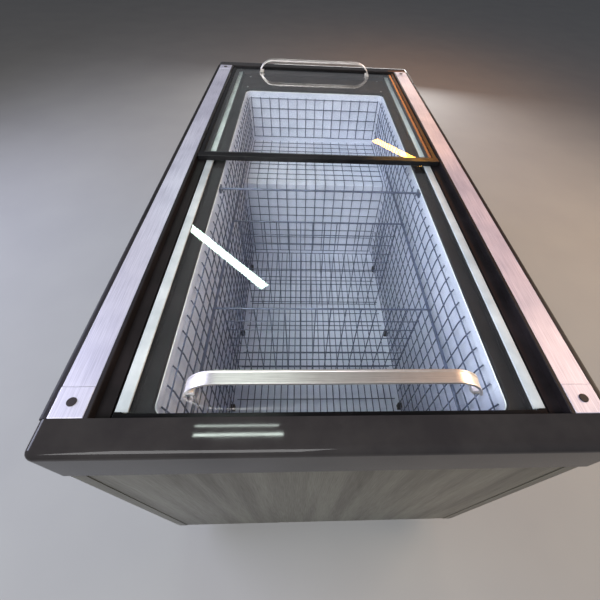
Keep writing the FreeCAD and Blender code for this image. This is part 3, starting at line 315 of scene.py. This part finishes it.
# %% Glass finish
def float_glass():
    sockets = {"Transmission Weight": 1.0, "Roughness": 0.0, "IOR": 1.5}
    made, tree, shader, place = start_material("tempered_float_glass", sockets)
    wipe = add(tree, "Mapping", {"Vector": place, "Rotation": (0, 0, 0.6), "Scale": (14, 4, 4)})
    smears = add(tree, "TexNoise", {"Vector": wipe, "Scale": 1.0, "Detail": 6.0, "Roughness": 0.6,
                                    "Distortion": 0.6})
    share = add(tree, "MapRange", {"Value": smears, "From Min": 0.45, "From Max": 0.75})
    tint = add(tree, "MixRGB", {"Fac": share, "Color1": linear("#fafdfc"), "Color2": linear("#eaf0f0")})
    tree.links.new(tint.outputs[0], shader.inputs["Base Color"])
    clear = add(tree, "BsdfTransparent", {"Color": linear("#f0f5f3")})
    to_lamp = add(tree, "LightPath").outputs["Is Shadow Ray"]
    mixed = add(tree, "MixShader", {0: to_lamp, 1: shader, 2: clear})
    output = tree.nodes["Material Output"]
    tree.links.new(mixed.outputs[0], output.inputs["Surface"])
    return made


finish["lid_glass"] = float_glass()
print("glass:", finish["lid_glass"].name)

# %% [markdown]
# ## Finishes onto the frame
# The record names a finish slot for every sub-part, so one loop dresses the whole frame. The frame's meshes
# already carry their smooth normals. The sharp-edged ones look cut from paper, though: real folded sheet and
# extrusions have a small radius that catches a line of light. A Weld modifier joins the loose triangles, a
# Bevel rounds the corners by a fraction of a millimetre, and weighted normals keep the flats flat.

# %% Dress the frame
for name, node in nodes.items():
    node.data.materials.clear()
    node.data.materials.append(finish[slot_of[name]])

EDGE_RADIUS = {
    "upper_lid_frame": 0.8, "lower_lid_frame": 0.8, "control_fascia": 0.6, "drip_tray": 0.8,
    "far_end_panel": 0.3, "near_end_panel": 0.3, "left_side_panel": 0.35, "right_side_panel": 0.35,
    "base_rails": 0.5, "mains_inlet": 0.4, "power_rocker": 0.5, "controller_box": 0.8, "grid_clips": 0.8,
    "upper_lid_pads": 0.3, "lower_lid_pads": 0.3, "base_plate": 0.4,
}
for name, radius in EDGE_RADIUS.items():
    node = nodes[name]
    weld = node.modifiers.new("join_triangles", "WELD")
    weld.merge_threshold = 0.01 * MM
    bevel = node.modifiers.new("edge_radius", "BEVEL")
    bevel.width = radius * MM
    bevel.segments = 2
    bevel.limit_method = "ANGLE"
    bevel.angle_limit = math.radians(50)
    flats = node.modifiers.new("flat_faces", "WEIGHTED_NORMAL")
    flats.keep_sharp = True
    for face in node.data.polygons:
        face.use_smooth = True
print("rounded edges on", len(EDGE_RADIUS), "sub-parts")

# %% [markdown]
# ## Helpers for modelling
# New pieces are modelled as by hand: start from a primitive, go into edit mode, select by place, and use
# extrude, inset, bevel, spin and bisect. These helpers only do the clicks: deselect, start a block at two
# corners, select what lies where, apply a modifier, and finish a piece.

# %% Modelling helpers
NEAR_ENOUGH = 0.01 * MM


def only(piece):
    """Leaves just this piece selected and active, in object mode."""
    if bpy.context.object and bpy.context.object.mode != "OBJECT":
        bpy.ops.object.mode_set(mode="OBJECT")
    bpy.ops.object.select_all(action="DESELECT")
    if piece:
        piece.select_set(True)
        bpy.context.view_layer.objects.active = piece


def start_block(name, low, high):
    """A block between two corners, to be shaped further."""
    only(None)
    low, high = Vector(low), Vector(high)
    bpy.ops.mesh.primitive_cube_add(size=1, location=(low + high) / 2)
    block = bpy.context.object
    block.name = name
    block.scale = high - low
    bpy.ops.object.transform_apply(location=True, rotation=True, scale=True)
    return block


def pick(piece, kind, wanted):
    """In edit mode, selects the VERTs, EDGEs or FACEs whose middle wanted() accepts."""
    bpy.ops.mesh.select_mode(type=kind)
    bpy.ops.mesh.select_all(action="DESELECT")
    mesh = bmesh.from_edit_mesh(piece.data)
    for item in {"VERT": mesh.verts, "EDGE": mesh.edges, "FACE": mesh.faces}[kind]:
        corners = [item] if kind == "VERT" else item.verts
        item.select_set(bool(wanted(sum((c.co for c in corners), Vector()) / len(corners))))
    mesh.select_flush_mode()
    bmesh.update_edit_mesh(piece.data)


def modify(piece, kind, **settings):
    """Adds a modifier to the piece and applies it."""
    only(piece)
    modifier = piece.modifiers.new(kind, kind)
    for name, value in settings.items():
        setattr(modifier, name, value)
    bpy.ops.object.modifier_apply(modifier=modifier.name)


def complete(piece, material, body):
    """Points the faces outwards, smooths the round ones, and gives the piece its finish and its body."""
    only(piece)
    bpy.ops.object.mode_set(mode="EDIT")
    bpy.ops.mesh.select_all(action="SELECT")
    bpy.ops.mesh.remove_doubles(threshold=NEAR_ENOUGH)
    bpy.ops.mesh.normals_make_consistent(inside=False)
    bpy.ops.object.mode_set(mode="OBJECT")
    bpy.ops.object.shade_smooth_by_angle(angle=math.radians(35))
    piece.data.materials.clear()
    piece.data.materials.append(material)
    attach(piece, body)
    return piece


def copy_of(piece, name, move):
    """A copy of an unfinished piece, with its own mesh, changed by the matrix move."""
    only(piece)
    bpy.ops.object.duplicate(linked=False)
    twin = bpy.context.object
    twin.name = name
    twin.data.transform(move)
    return twin


# %% [markdown]
# ## The bow handles
# Each lid is pulled by a bow of flat aluminium bar, 25 mm wide, bent down at both ends to the glass and
# screwed from below. The bar has a shallow channel along its top, which leaves a lip at each edge. Bending
# is what Spin does: half the bar is a block, its top is cut along its length and the middle lowered, and its
# end face is spun about the bend's centre. The bisect trims it level with the glass, a small boss takes the
# screw, and a mirror makes the other half.

# %% Bow handles
BAR_THICK = 4.5 * MM
FLAT_HALF = 190 * MM
LIP = 3.0 * MM
LIP_SLOPE = 0.8 * MM
CHANNEL = 0.7 * MM
BEND_STEPS = 16
SPARE_SWEEP = math.radians(6)
BOSS_INNER = 19 * MM
BOSS_OUTER = 4 * MM
BOSS_HALF = 8 * MM
BOSS_TALL = 9 * MM


def bow_handle(name, node, body):
    low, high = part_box(node)
    rise = high.z - low.z
    bend = ((high.x - FLAT_HALF) ** 2 + rise ** 2) / (2 * rise)
    middle_y = (low.y + high.y) / 2
    bar = start_block(name, (0, low.y, high.z - BAR_THICK), (FLAT_HALF, high.y, high.z))
    bpy.ops.object.mode_set(mode="EDIT")
    for y in (low.y + LIP, low.y + LIP + LIP_SLOPE, high.y - LIP - LIP_SLOPE, high.y - LIP):
        bpy.ops.mesh.select_all(action="SELECT")
        bpy.ops.mesh.bisect(plane_co=(0, y, 0), plane_no=(0, 1, 0))
    floor_half = (high.y - low.y) / 2 - LIP - LIP_SLOPE + NEAR_ENOUGH
    pick(bar, "VERT", lambda c: c.z > high.z - NEAR_ENOUGH and abs(c.y - middle_y) < floor_half)
    bpy.ops.transform.translate(value=(0, 0, -CHANNEL))
    pick(bar, "FACE", lambda c: c.x > FLAT_HALF - NEAR_ENOUGH)
    sweep = math.acos((bend - rise) / bend) + SPARE_SWEEP
    centre = (FLAT_HALF, middle_y, high.z - bend)
    bpy.ops.mesh.spin(steps=BEND_STEPS, angle=-sweep, center=centre, axis=(0, 1, 0))
    bpy.ops.mesh.select_all(action="SELECT")
    bpy.ops.mesh.bisect(plane_co=(0, 0, low.z), plane_no=(0, 0, 1), use_fill=True, clear_inner=True)
    pick(bar, "FACE", lambda c: c.x < NEAR_ENOUGH)
    bpy.ops.mesh.delete(type="FACE")
    bpy.ops.mesh.select_all(action="DESELECT")
    boss_low = Vector((high.x - BOSS_INNER, middle_y - BOSS_HALF, low.z))
    boss_high = Vector((high.x - BOSS_OUTER, middle_y + BOSS_HALF, low.z + BOSS_TALL))
    bpy.ops.mesh.primitive_cube_add(size=1, location=(boss_low + boss_high) / 2, scale=boss_high - boss_low)
    modify(bar, "MIRROR", use_axis=(True, False, False), merge_threshold=NEAR_ENOUGH)
    modify(bar, "BEVEL", width=0.45 * MM, segments=2, limit_method="ANGLE", angle_limit=math.radians(50))
    complete(bar, finish["handle_satin"], body)
    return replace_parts(bar, node)


for lid in ("upper_lid", "lower_lid"):
    made = bow_handle(lid + "_bow", lid + "_handle", lid)
    span = [round(1000 * size) for size in made.dimensions]
    print(made.name, "is", span, "mm,", len(made.data.polygons), "faces")

# %% [markdown]
# ## The seals between the lids
# Cold air would leak between the two lids, so a rubber wiper hangs under the upper lid's near bar, and a
# bulb seal lies on the lower lid's far bar. Each is an extrusion: a block whose lower or upper face is
# extruded and narrowed into a lip.

# %% Lid seals
def lip_seal(name, low, high, lip, body):
    """A rubber strip along X with a narrower lip, below it where lip is negative and above it otherwise."""
    strip = start_block(name, low, high)
    side = high[2] if lip > 0 else low[2]
    bpy.ops.object.mode_set(mode="EDIT")
    pick(strip, "FACE", lambda c: abs(c.z - side) < NEAR_ENOUGH)
    bpy.ops.mesh.extrude_region_move(TRANSFORM_OT_translate={"value": (0, 0, lip)})
    centre = (0, (low[1] + high[1]) / 2, side + lip)
    bpy.ops.transform.resize(value=(1, 0.35, 1), center_override=centre)
    modify(strip, "BEVEL", width=0.3 * MM, segments=3, limit_method="ANGLE", angle_limit=math.radians(20))
    return complete(strip, gasket_rubber, body)


upper_low, upper_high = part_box("upper_lid_frame")
lower_low, lower_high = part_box("lower_lid_frame")
half = lower_high.x - 14 * MM
near_y = upper_low.y + 6 * MM
lip_seal("upper_lid_wiper", (-half, near_y, upper_low.z - 1.2 * MM), (half, near_y + 12 * MM, upper_low.z),
         -1.2 * MM, "upper_lid")
far_y = lower_high.y - 20 * MM
lip_seal("lower_lid_bulb_seal", (-half, far_y, lower_high.z), (half, far_y + 14 * MM, lower_high.z + 1.1 * MM),
         1.1 * MM, "lower_lid")
print("seals leave", round(1000 * (upper_low.z - lower_high.z), 1), "mm between the lids")

# %% [markdown]
# ## Track strips
# A pale strip lies in each lower track for the lid's nylon pads to run on, and a pale edge strip is bonded
# along both sides of the lower lid. Together they draw the light line that follows the dark rail from end
# to end. They are flat extrusions with their long edges bevelled.

# %% Track strips
strip_plastic = moulded("pale_grey_pvc_strip", "#a3abb0", "#c3c9cc", 1.4, (0.28, 0.42), 0.03)


def flat_strip(name, low, high, body):
    strip = start_block(name, low, high)
    bpy.ops.object.mode_set(mode="EDIT")
    pick(strip, "EDGE", lambda c: c.z > high[2] - NEAR_ENOUGH)
    bpy.ops.mesh.bevel(offset=min(0.8 * MM, (high[2] - low[2]) / 2), segments=2)
    return complete(strip, strip_plastic, body)


TRACK_STRIP_INNER = 336 * MM
TRACK_STRIP_OUTER = 353.5 * MM
EDGE_STRIP_WIDE = 22 * MM
track_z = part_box("lower_lid_pads")[0].z - 0.3 * MM
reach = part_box("left_side_rail")[1].y - 2 * MM
glass_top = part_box("lower_lid_glass")[1].z
for side, name in ((-1, "left"), (1, "right")):
    inner, outer = sorted((side * TRACK_STRIP_INNER, side * TRACK_STRIP_OUTER))
    flat_strip(name + "_track_strip", (inner, -reach, track_z), (outer, reach, track_z + 0.2 * MM), "cabinet")
    inner, outer = sorted((side * (lower_high.x - EDGE_STRIP_WIDE), side * (lower_high.x - 1.5 * MM)))
    flat_strip(name + "_lid_edge_strip", (inner, lower_low.y + 14 * MM, glass_top),
               (outer, lower_high.y - 27 * MM, lower_high.z + 0.4 * MM), "lower_lid")
print("four strips,", round(2 * reach, 3), "m long in the tracks")

# %% [markdown]
# ## Gaskets under the end mouldings
# Where each moulding ends over the sheet panel, a black gasket follows its lower edge and shows as a thin
# dark line. It is a U in plan: the wall that is left when a block loses its top, bottom and inner side, with
# the two corners bevelled to the moulding's radius, and Solidify for its thickness.

# %% Moulding gaskets
CORNER = 14 * MM
for end, side in (("near", -1), ("far", 1)):
    low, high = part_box(end + "_end_moulding")
    face_y = low.y if side < 0 else high.y
    back_y = high.y if side < 0 else low.y
    y_low, y_high = sorted((face_y - side * 0.5 * MM, back_y))
    gasket = start_block(end + "_moulding_gasket", (low.x + 0.5 * MM, y_low, low.z - 2.2 * MM),
                         (high.x - 0.5 * MM, y_high, low.z))
    bpy.ops.object.mode_set(mode="EDIT")
    middle_z = low.z - 1.1 * MM
    pick(gasket, "FACE", lambda c: abs(c.z - middle_z) > 1 * MM or abs(c.y - back_y) < NEAR_ENOUGH)
    bpy.ops.mesh.delete(type="FACE")
    pick(gasket, "EDGE", lambda c: abs(c.z - middle_z) < 0.5 * MM and abs(c.y - face_y) < 1 * MM)
    bpy.ops.mesh.bevel(offset=CORNER, segments=8)
    bpy.ops.mesh.select_all(action="SELECT")
    bpy.ops.mesh.normals_make_consistent(inside=False)
    modify(gasket, "SOLIDIFY", thickness=3.2 * MM, offset=-1)
    modify(gasket, "BEVEL", width=0.5 * MM, segments=2, limit_method="ANGLE", angle_limit=math.radians(60))
    complete(gasket, gasket_rubber, "cabinet")
    print(gasket.name, "has", len(gasket.data.polygons), "faces")

# %% [markdown]
# ## The sealant bead
# The liner meets the dark breaker rim in a thin bead of white silicone, all round the mouth. A bead is a
# round section swept along a path, so a flat rectangle gets its corners bevelled, keeps only its outline,
# becomes a curve with a round bevel, and turns back into a mesh.

# %% Sealant bead
def silicone():
    made, tree, shader, place = start_material("white_silicone_sealant", {"Roughness": 0.4, "IOR": 1.42})
    lumps = add(tree, "TexNoise", {"Vector": place, "Scale": 1 / (14 * MM), "Detail": 2.0})
    colour = add(tree, "MixRGB", {"Fac": lumps, "Color1": linear("#c9c8cf"), "Color2": linear("#e3e3e8")})
    bump = add(tree, "Bump", {"Height": lumps, "Strength": 0.4, "Distance": 0.4 * MM})
    tree.links.new(colour.outputs[0], shader.inputs["Base Color"])
    tree.links.new(bump.outputs[0], shader.inputs["Normal"])
    return made


low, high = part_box("liner")
wall = 2 * MM
mouth = Vector((high.x - wall, (high.y - low.y) / 2 - wall, 0))
only(None)
bpy.ops.mesh.primitive_plane_add(size=2, location=(0, (low.y + high.y) / 2, high.z))
bead = bpy.context.object
bead.name = "liner_mouth_bead"
bead.scale = (mouth.x, mouth.y, 1)
bpy.ops.object.transform_apply(location=True, rotation=True, scale=True)
bpy.ops.object.mode_set(mode="EDIT")
bpy.ops.mesh.bevel(offset=25 * MM, segments=8, affect="VERTICES")
bpy.ops.mesh.delete(type="ONLY_FACE")
bpy.ops.object.mode_set(mode="OBJECT")
bpy.ops.object.convert(target="CURVE")
bead.data.bevel_depth = 1.5 * MM
bead.data.bevel_resolution = 2
bpy.ops.object.convert(target="MESH")
complete(bpy.context.object, silicone(), "cabinet")
print("bead:", len(bpy.context.object.data.polygons), "faces")

# %% [markdown]
# ## Screws
# Pan-head screws hold the deck, the far panel, the grille and the fascia. One is modelled: a short cylinder
# whose top edge is bevelled into a dome, with a socket inset and pushed down. The rest are copies, turned
# to face the way that their panel does.

# %% Screws
def screw_head(radius):
    only(None)
    bpy.ops.mesh.primitive_cylinder_add(vertices=24, radius=radius, depth=radius * 0.55,
                                        location=(0, 0, radius * 0.275))
    head = bpy.context.object
    bpy.ops.object.transform_apply(location=True, rotation=True, scale=True)
    top = radius * 0.55
    bpy.ops.object.mode_set(mode="EDIT")
    pick(head, "FACE", lambda c: c.z > top - NEAR_ENOUGH)
    bpy.ops.mesh.bevel(offset=radius * 0.3, segments=3)
    pick(head, "FACE", lambda c: c.z > top - NEAR_ENOUGH and c.xy.length < radius * 0.1)
    bpy.ops.mesh.inset(thickness=radius * 0.28)
    bpy.ops.mesh.extrude_region_move(TRANSFORM_OT_translate={"value": (0, 0, -radius * 0.3)})
    bpy.ops.object.mode_set(mode="OBJECT")
    return head


UP = Matrix.Identity(4)
BACK = Matrix.Rotation(math.radians(-90), 4, "X")
deck_low, deck_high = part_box("machine_cover")
panel_low, panel_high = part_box("far_end_panel")
grille_low, grille_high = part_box("machine_grille")
fascia_low, fascia_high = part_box("control_fascia")
DECK_THICK = 6 * MM
DECK_SCREW_X = 296 * MM
DECK_FAR_SCREW_Y = 790 * MM
FASCIA_MARGIN = 4 * MM
deck_top = deck_low.z + DECK_THICK
screw_x = panel_high.x - 36 * MM
places = {
    "deck_screw": (4.0, UP, [(x, y, deck_top) for x in (-DECK_SCREW_X, DECK_SCREW_X)
                              for y in (deck_low.y + 20 * MM, DECK_FAR_SCREW_Y)]),
    "panel_screw": (4.5, BACK, [(x, panel_high.y, z) for x in (-screw_x, screw_x)
                                for z in (panel_low.z + 25 * MM, panel_high.z - 30 * MM)]),
    "grille_screw": (4.5, BACK, [(x, grille_high.y, z) for x in (-screw_x, 0, screw_x)
                                 for z in (grille_low.z + 20 * MM, grille_high.z - 15 * MM)]),
    "fascia_screw": (2.2, BACK, [(x, fascia_high.y, z)
                                 for x in (fascia_low.x + FASCIA_MARGIN, fascia_high.x - FASCIA_MARGIN)
                                 for z in (fascia_low.z + FASCIA_MARGIN, fascia_high.z - FASCIA_MARGIN)]),
}
for name, (radius, facing, spots) in places.items():
    pattern = screw_head(radius * MM)
    for count, spot in enumerate(spots, 1):
        twin = copy_of(pattern, f"{name}_{count}", Matrix.Translation(spot) @ facing)
        complete(twin, finish["zinc_steel"], "cabinet")
    bpy.data.objects.remove(pattern)
    print(name, len(spots))

# %% [markdown]
# ## Controls
# The fascia at the machine end has a thermostat with eleven raised ticks round it, a dark acrylic window
# over the display, and two small lamps. The ticks are one bevelled sliver copied round the knob. The lamps
# are domes of coloured acrylic, and the window is a thin plate with rounded corners.

# %% Control details
def clear_plastic(name, tone, light):
    """Coloured acrylic: smooth, glossy, and with a slightly uneven depth of colour."""
    made, tree, shader, place = start_material(name, {"Roughness": 0.08, "IOR": 1.49, "Coat Weight": 0.6,
                                                      "Coat Roughness": 0.03})
    depth = add(tree, "TexNoise", {"Vector": place, "Scale": 1 / (8 * MM), "Detail": 2.0})
    colour = add(tree, "MixRGB", {"Fac": depth, "Color1": linear(tone), "Color2": linear(light)})
    tree.links.new(colour.outputs[0], shader.inputs["Base Color"])
    return made


knob_low, knob_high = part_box("thermostat_knob")
knob_centre = (knob_low + knob_high) / 2
recess_y = knob_low.y - 1 * MM
tick_paint = moulded("pad_printed_white_ink", "#c8c8c4", "#e6e6e2", 0.8, (0.45, 0.6), 0.02)
tick = start_block("tick_pattern", (-0.5 * MM, 0, 26 * MM), (0.5 * MM, 0.5 * MM, 31 * MM))
modify(tick, "BEVEL", width=0.15 * MM, segments=2)
TICKS = 11
DIAL_SWEEP = 270
for count in range(TICKS):
    degrees = DIAL_SWEEP * (count / (TICKS - 1) - 0.5)
    turn = Matrix.Rotation(math.radians(degrees), 4, "Y")
    home = Matrix.Translation((knob_centre.x, recess_y, knob_centre.z))
    complete(copy_of(tick, f"dial_tick_{count + 1}", home @ turn), tick_paint, "cabinet")
bpy.data.objects.remove(tick)

window_z = knob_centre.z
window = start_block("display_window", (51 * MM, recess_y + 1.5 * MM, window_z - 15 * MM),
                     (119 * MM, recess_y + 2.3 * MM, window_z + 15 * MM))
bpy.ops.object.mode_set(mode="EDIT")
pick(window, "EDGE", lambda c: abs(abs(c.z - window_z) - 15 * MM) < NEAR_ENOUGH and
     min(abs(c.x - 51 * MM), abs(c.x - 119 * MM)) < NEAR_ENOUGH)
bpy.ops.mesh.bevel(offset=3 * MM, segments=5)
modify(window, "BEVEL", width=0.25 * MM, segments=2, limit_method="ANGLE", angle_limit=math.radians(60))
complete(window, clear_plastic("smoked_acrylic_window", "#0a0c0e", "#15181b"), "cabinet")

for x, name, tone, light in ((26, "green_lamp", "#2f7a3c", "#3f9a4c"), (38, "red_lamp", "#7c2320", "#a03430")):
    only(None)
    bpy.ops.mesh.primitive_uv_sphere_add(segments=20, ring_count=12, radius=2.8 * MM,
                                         location=(x * MM, recess_y + 2 * MM, knob_centre.z))
    lamp = bpy.context.object
    lamp.name = name
    bpy.ops.object.transform_apply(location=True, rotation=True, scale=True)
    bpy.ops.object.mode_set(mode="EDIT")
    bpy.ops.mesh.select_all(action="SELECT")
    bpy.ops.mesh.bisect(plane_co=(0, recess_y + 2 * MM, 0), plane_no=(0, 1, 0), use_fill=True, clear_inner=True)
    complete(lamp, clear_plastic(name + "_acrylic", tone, light), "cabinet")
print("controls:", TICKS, "ticks, a window and two lamps")

# %% [markdown]
# ## Stage
# A plain mid-grey floor and a dim pale world give soft, even light, and keep the eye on the freezer. The
# floor is a seamless sheet of studio paper: matt, with a faint mottle. It is grey and not white because the
# glossy moulding mirrors it.

# %% Floor and world
def studio_paper():
    made, tree, shader, place = start_material("seamless_studio_paper", {"Roughness": 0.9})
    mottle = add(tree, "TexNoise", {"Vector": place, "Scale": 1 / (400 * MM), "Detail": 3.0})
    colour = add(tree, "MixRGB", {"Fac": mottle, "Color1": linear("#8b8b8c"), "Color2": linear("#969695")})
    tree.links.new(colour.outputs[0], shader.inputs["Base Color"])
    return made


only(None)
bpy.ops.mesh.primitive_plane_add(size=30)
floor = bpy.context.object
floor.name = "studio_floor"
floor.data.materials.append(studio_paper())

world = bpy.data.worlds.new("pale_studio")
bpy.context.scene.world = world
world.use_nodes = True
sky = world.node_tree.nodes["Background"]
sky.inputs["Color"].default_value = linear("#e6e9f2")
sky.inputs["Strength"].default_value = 0.2
bpy.context.scene.view_settings.view_transform = "Standard"
print("stage:", floor.name, world.name)

# %% [markdown]
# ## Lights
# Big soft boxes stand behind the camera and at both sides, low enough that the glass doesn't mirror them.
# Two slim tube lights hang beyond the far end: they add little light, but the lids mirror them as a bright
# bar each, white over the near lid and warm over the far one. Two thinner ones above the near end draw two
# lines on the gloss of the moulding. A long amber box beyond the right side gives the right trim and the
# frame edges their warm tint, and stays out of what the glass mirrors towards the camera.

# %% Soft boxes and tubes
def area_light(name, place, target, size, power, colour):
    lamp = bpy.data.lights.new(name, "AREA")
    lamp.shape = "RECTANGLE"
    lamp.size, lamp.size_y = size
    lamp.energy = power
    lamp.color = linear(colour)[:3]
    holder = bpy.data.objects.new(name, lamp)
    bpy.context.scene.collection.objects.link(holder)
    holder.location = place
    holder.rotation_euler = (Vector(target) - Vector(place)).to_track_quat("-Z", "Y").to_euler()
    return holder


def tube_light(name, start, end, width, power, colour):
    """A slim light from start to end that shines straight down."""
    start, end = Vector(start), Vector(end)
    run = end - start
    holder = area_light(name, (start + end) / 2, (start + end) / 2 - Vector((0, 0, 1)),
                        (run.length, width), power, colour)
    holder.rotation_euler = (0, 0, math.atan2(run.y, run.x))
    return holder


TUBE_Z = 2.4
COOL = "#f0fff6"
area_light("key_box", (-0.9, -2.6, 3.0), (0, -0.2, 0.6), (2.2, 1.6), 135, "#ffffff")
area_light("left_box", (-3.0, 0.3, 1.9), (0, 0, 0.6), (2.0, 1.4), 90, "#dfe3ff")
area_light("right_box", (3.0, 0.2, 2.0), (0, 0, 0.6), (1.8, 1.4), 66, "#ffe0bd")
area_light("back_box", (0.6, 3.6, 0.85), (0, 0.6, 0.45), (2.0, 0.8), 45, "#ffffff")
tube_light("near_tube", (-1.188, 1.753, TUBE_Z), (-0.363, 0.915, TUBE_Z), 0.08, 5, "#e6fff0")
tube_light("far_tube", (0.968, 3.715, TUBE_Z), (1.582, 2.976, TUBE_Z), 0.12, 8, "#ffb84c")
tube_light("amber_box", (1.48, -0.4, 1.95), (1.48, 5.0, 1.95), 0.45, 14, "#ff9432")
tube_light("moulding_tube_a", (-0.70, -0.290, TUBE_Z), (-0.19, -0.290, TUBE_Z), 0.012, 0.9, COOL)
tube_light("moulding_tube_b", (-0.70, -0.345, TUBE_Z), (-0.16, -0.345, TUBE_Z), 0.016, 2.2, COOL)

# %% [markdown]
# ## Camera
# The eye stands just off the near end, a little left of the middle and 1.35 m up, and looks steeply down
# the length through a wide lens. Its axes are worked out from three angles: a turn to the right, a dip below
# the horizon, and a slight roll.

# %% Camera
EYE = Vector((-0.060, -1.039, 1.349))
TURN, DIP, ROLL = (math.radians(angle) for angle in (4.53, 51.13, 3.84))
ahead = Vector((math.sin(TURN) * math.cos(DIP), math.cos(TURN) * math.cos(DIP), -math.sin(DIP)))
level = Vector((math.cos(TURN), -math.sin(TURN), 0))
upright = level.cross(ahead)
right = level * math.cos(ROLL) + upright * math.sin(ROLL)
above = upright * math.cos(ROLL) - level * math.sin(ROLL)

lens = bpy.data.cameras.new("handheld_view")
lens.lens = 19.9
lens.shift_x, lens.shift_y = -0.028, 0.021
lens.clip_start = 0.02
camera = bpy.data.objects.new("camera", lens)
bpy.context.scene.collection.objects.link(camera)
camera.matrix_world = Matrix.Translation(EYE) @ Matrix((right, above, -ahead)).transposed().to_4x4()
bpy.context.scene.camera = camera
print("camera at", tuple(round(v, 3) for v in EYE))
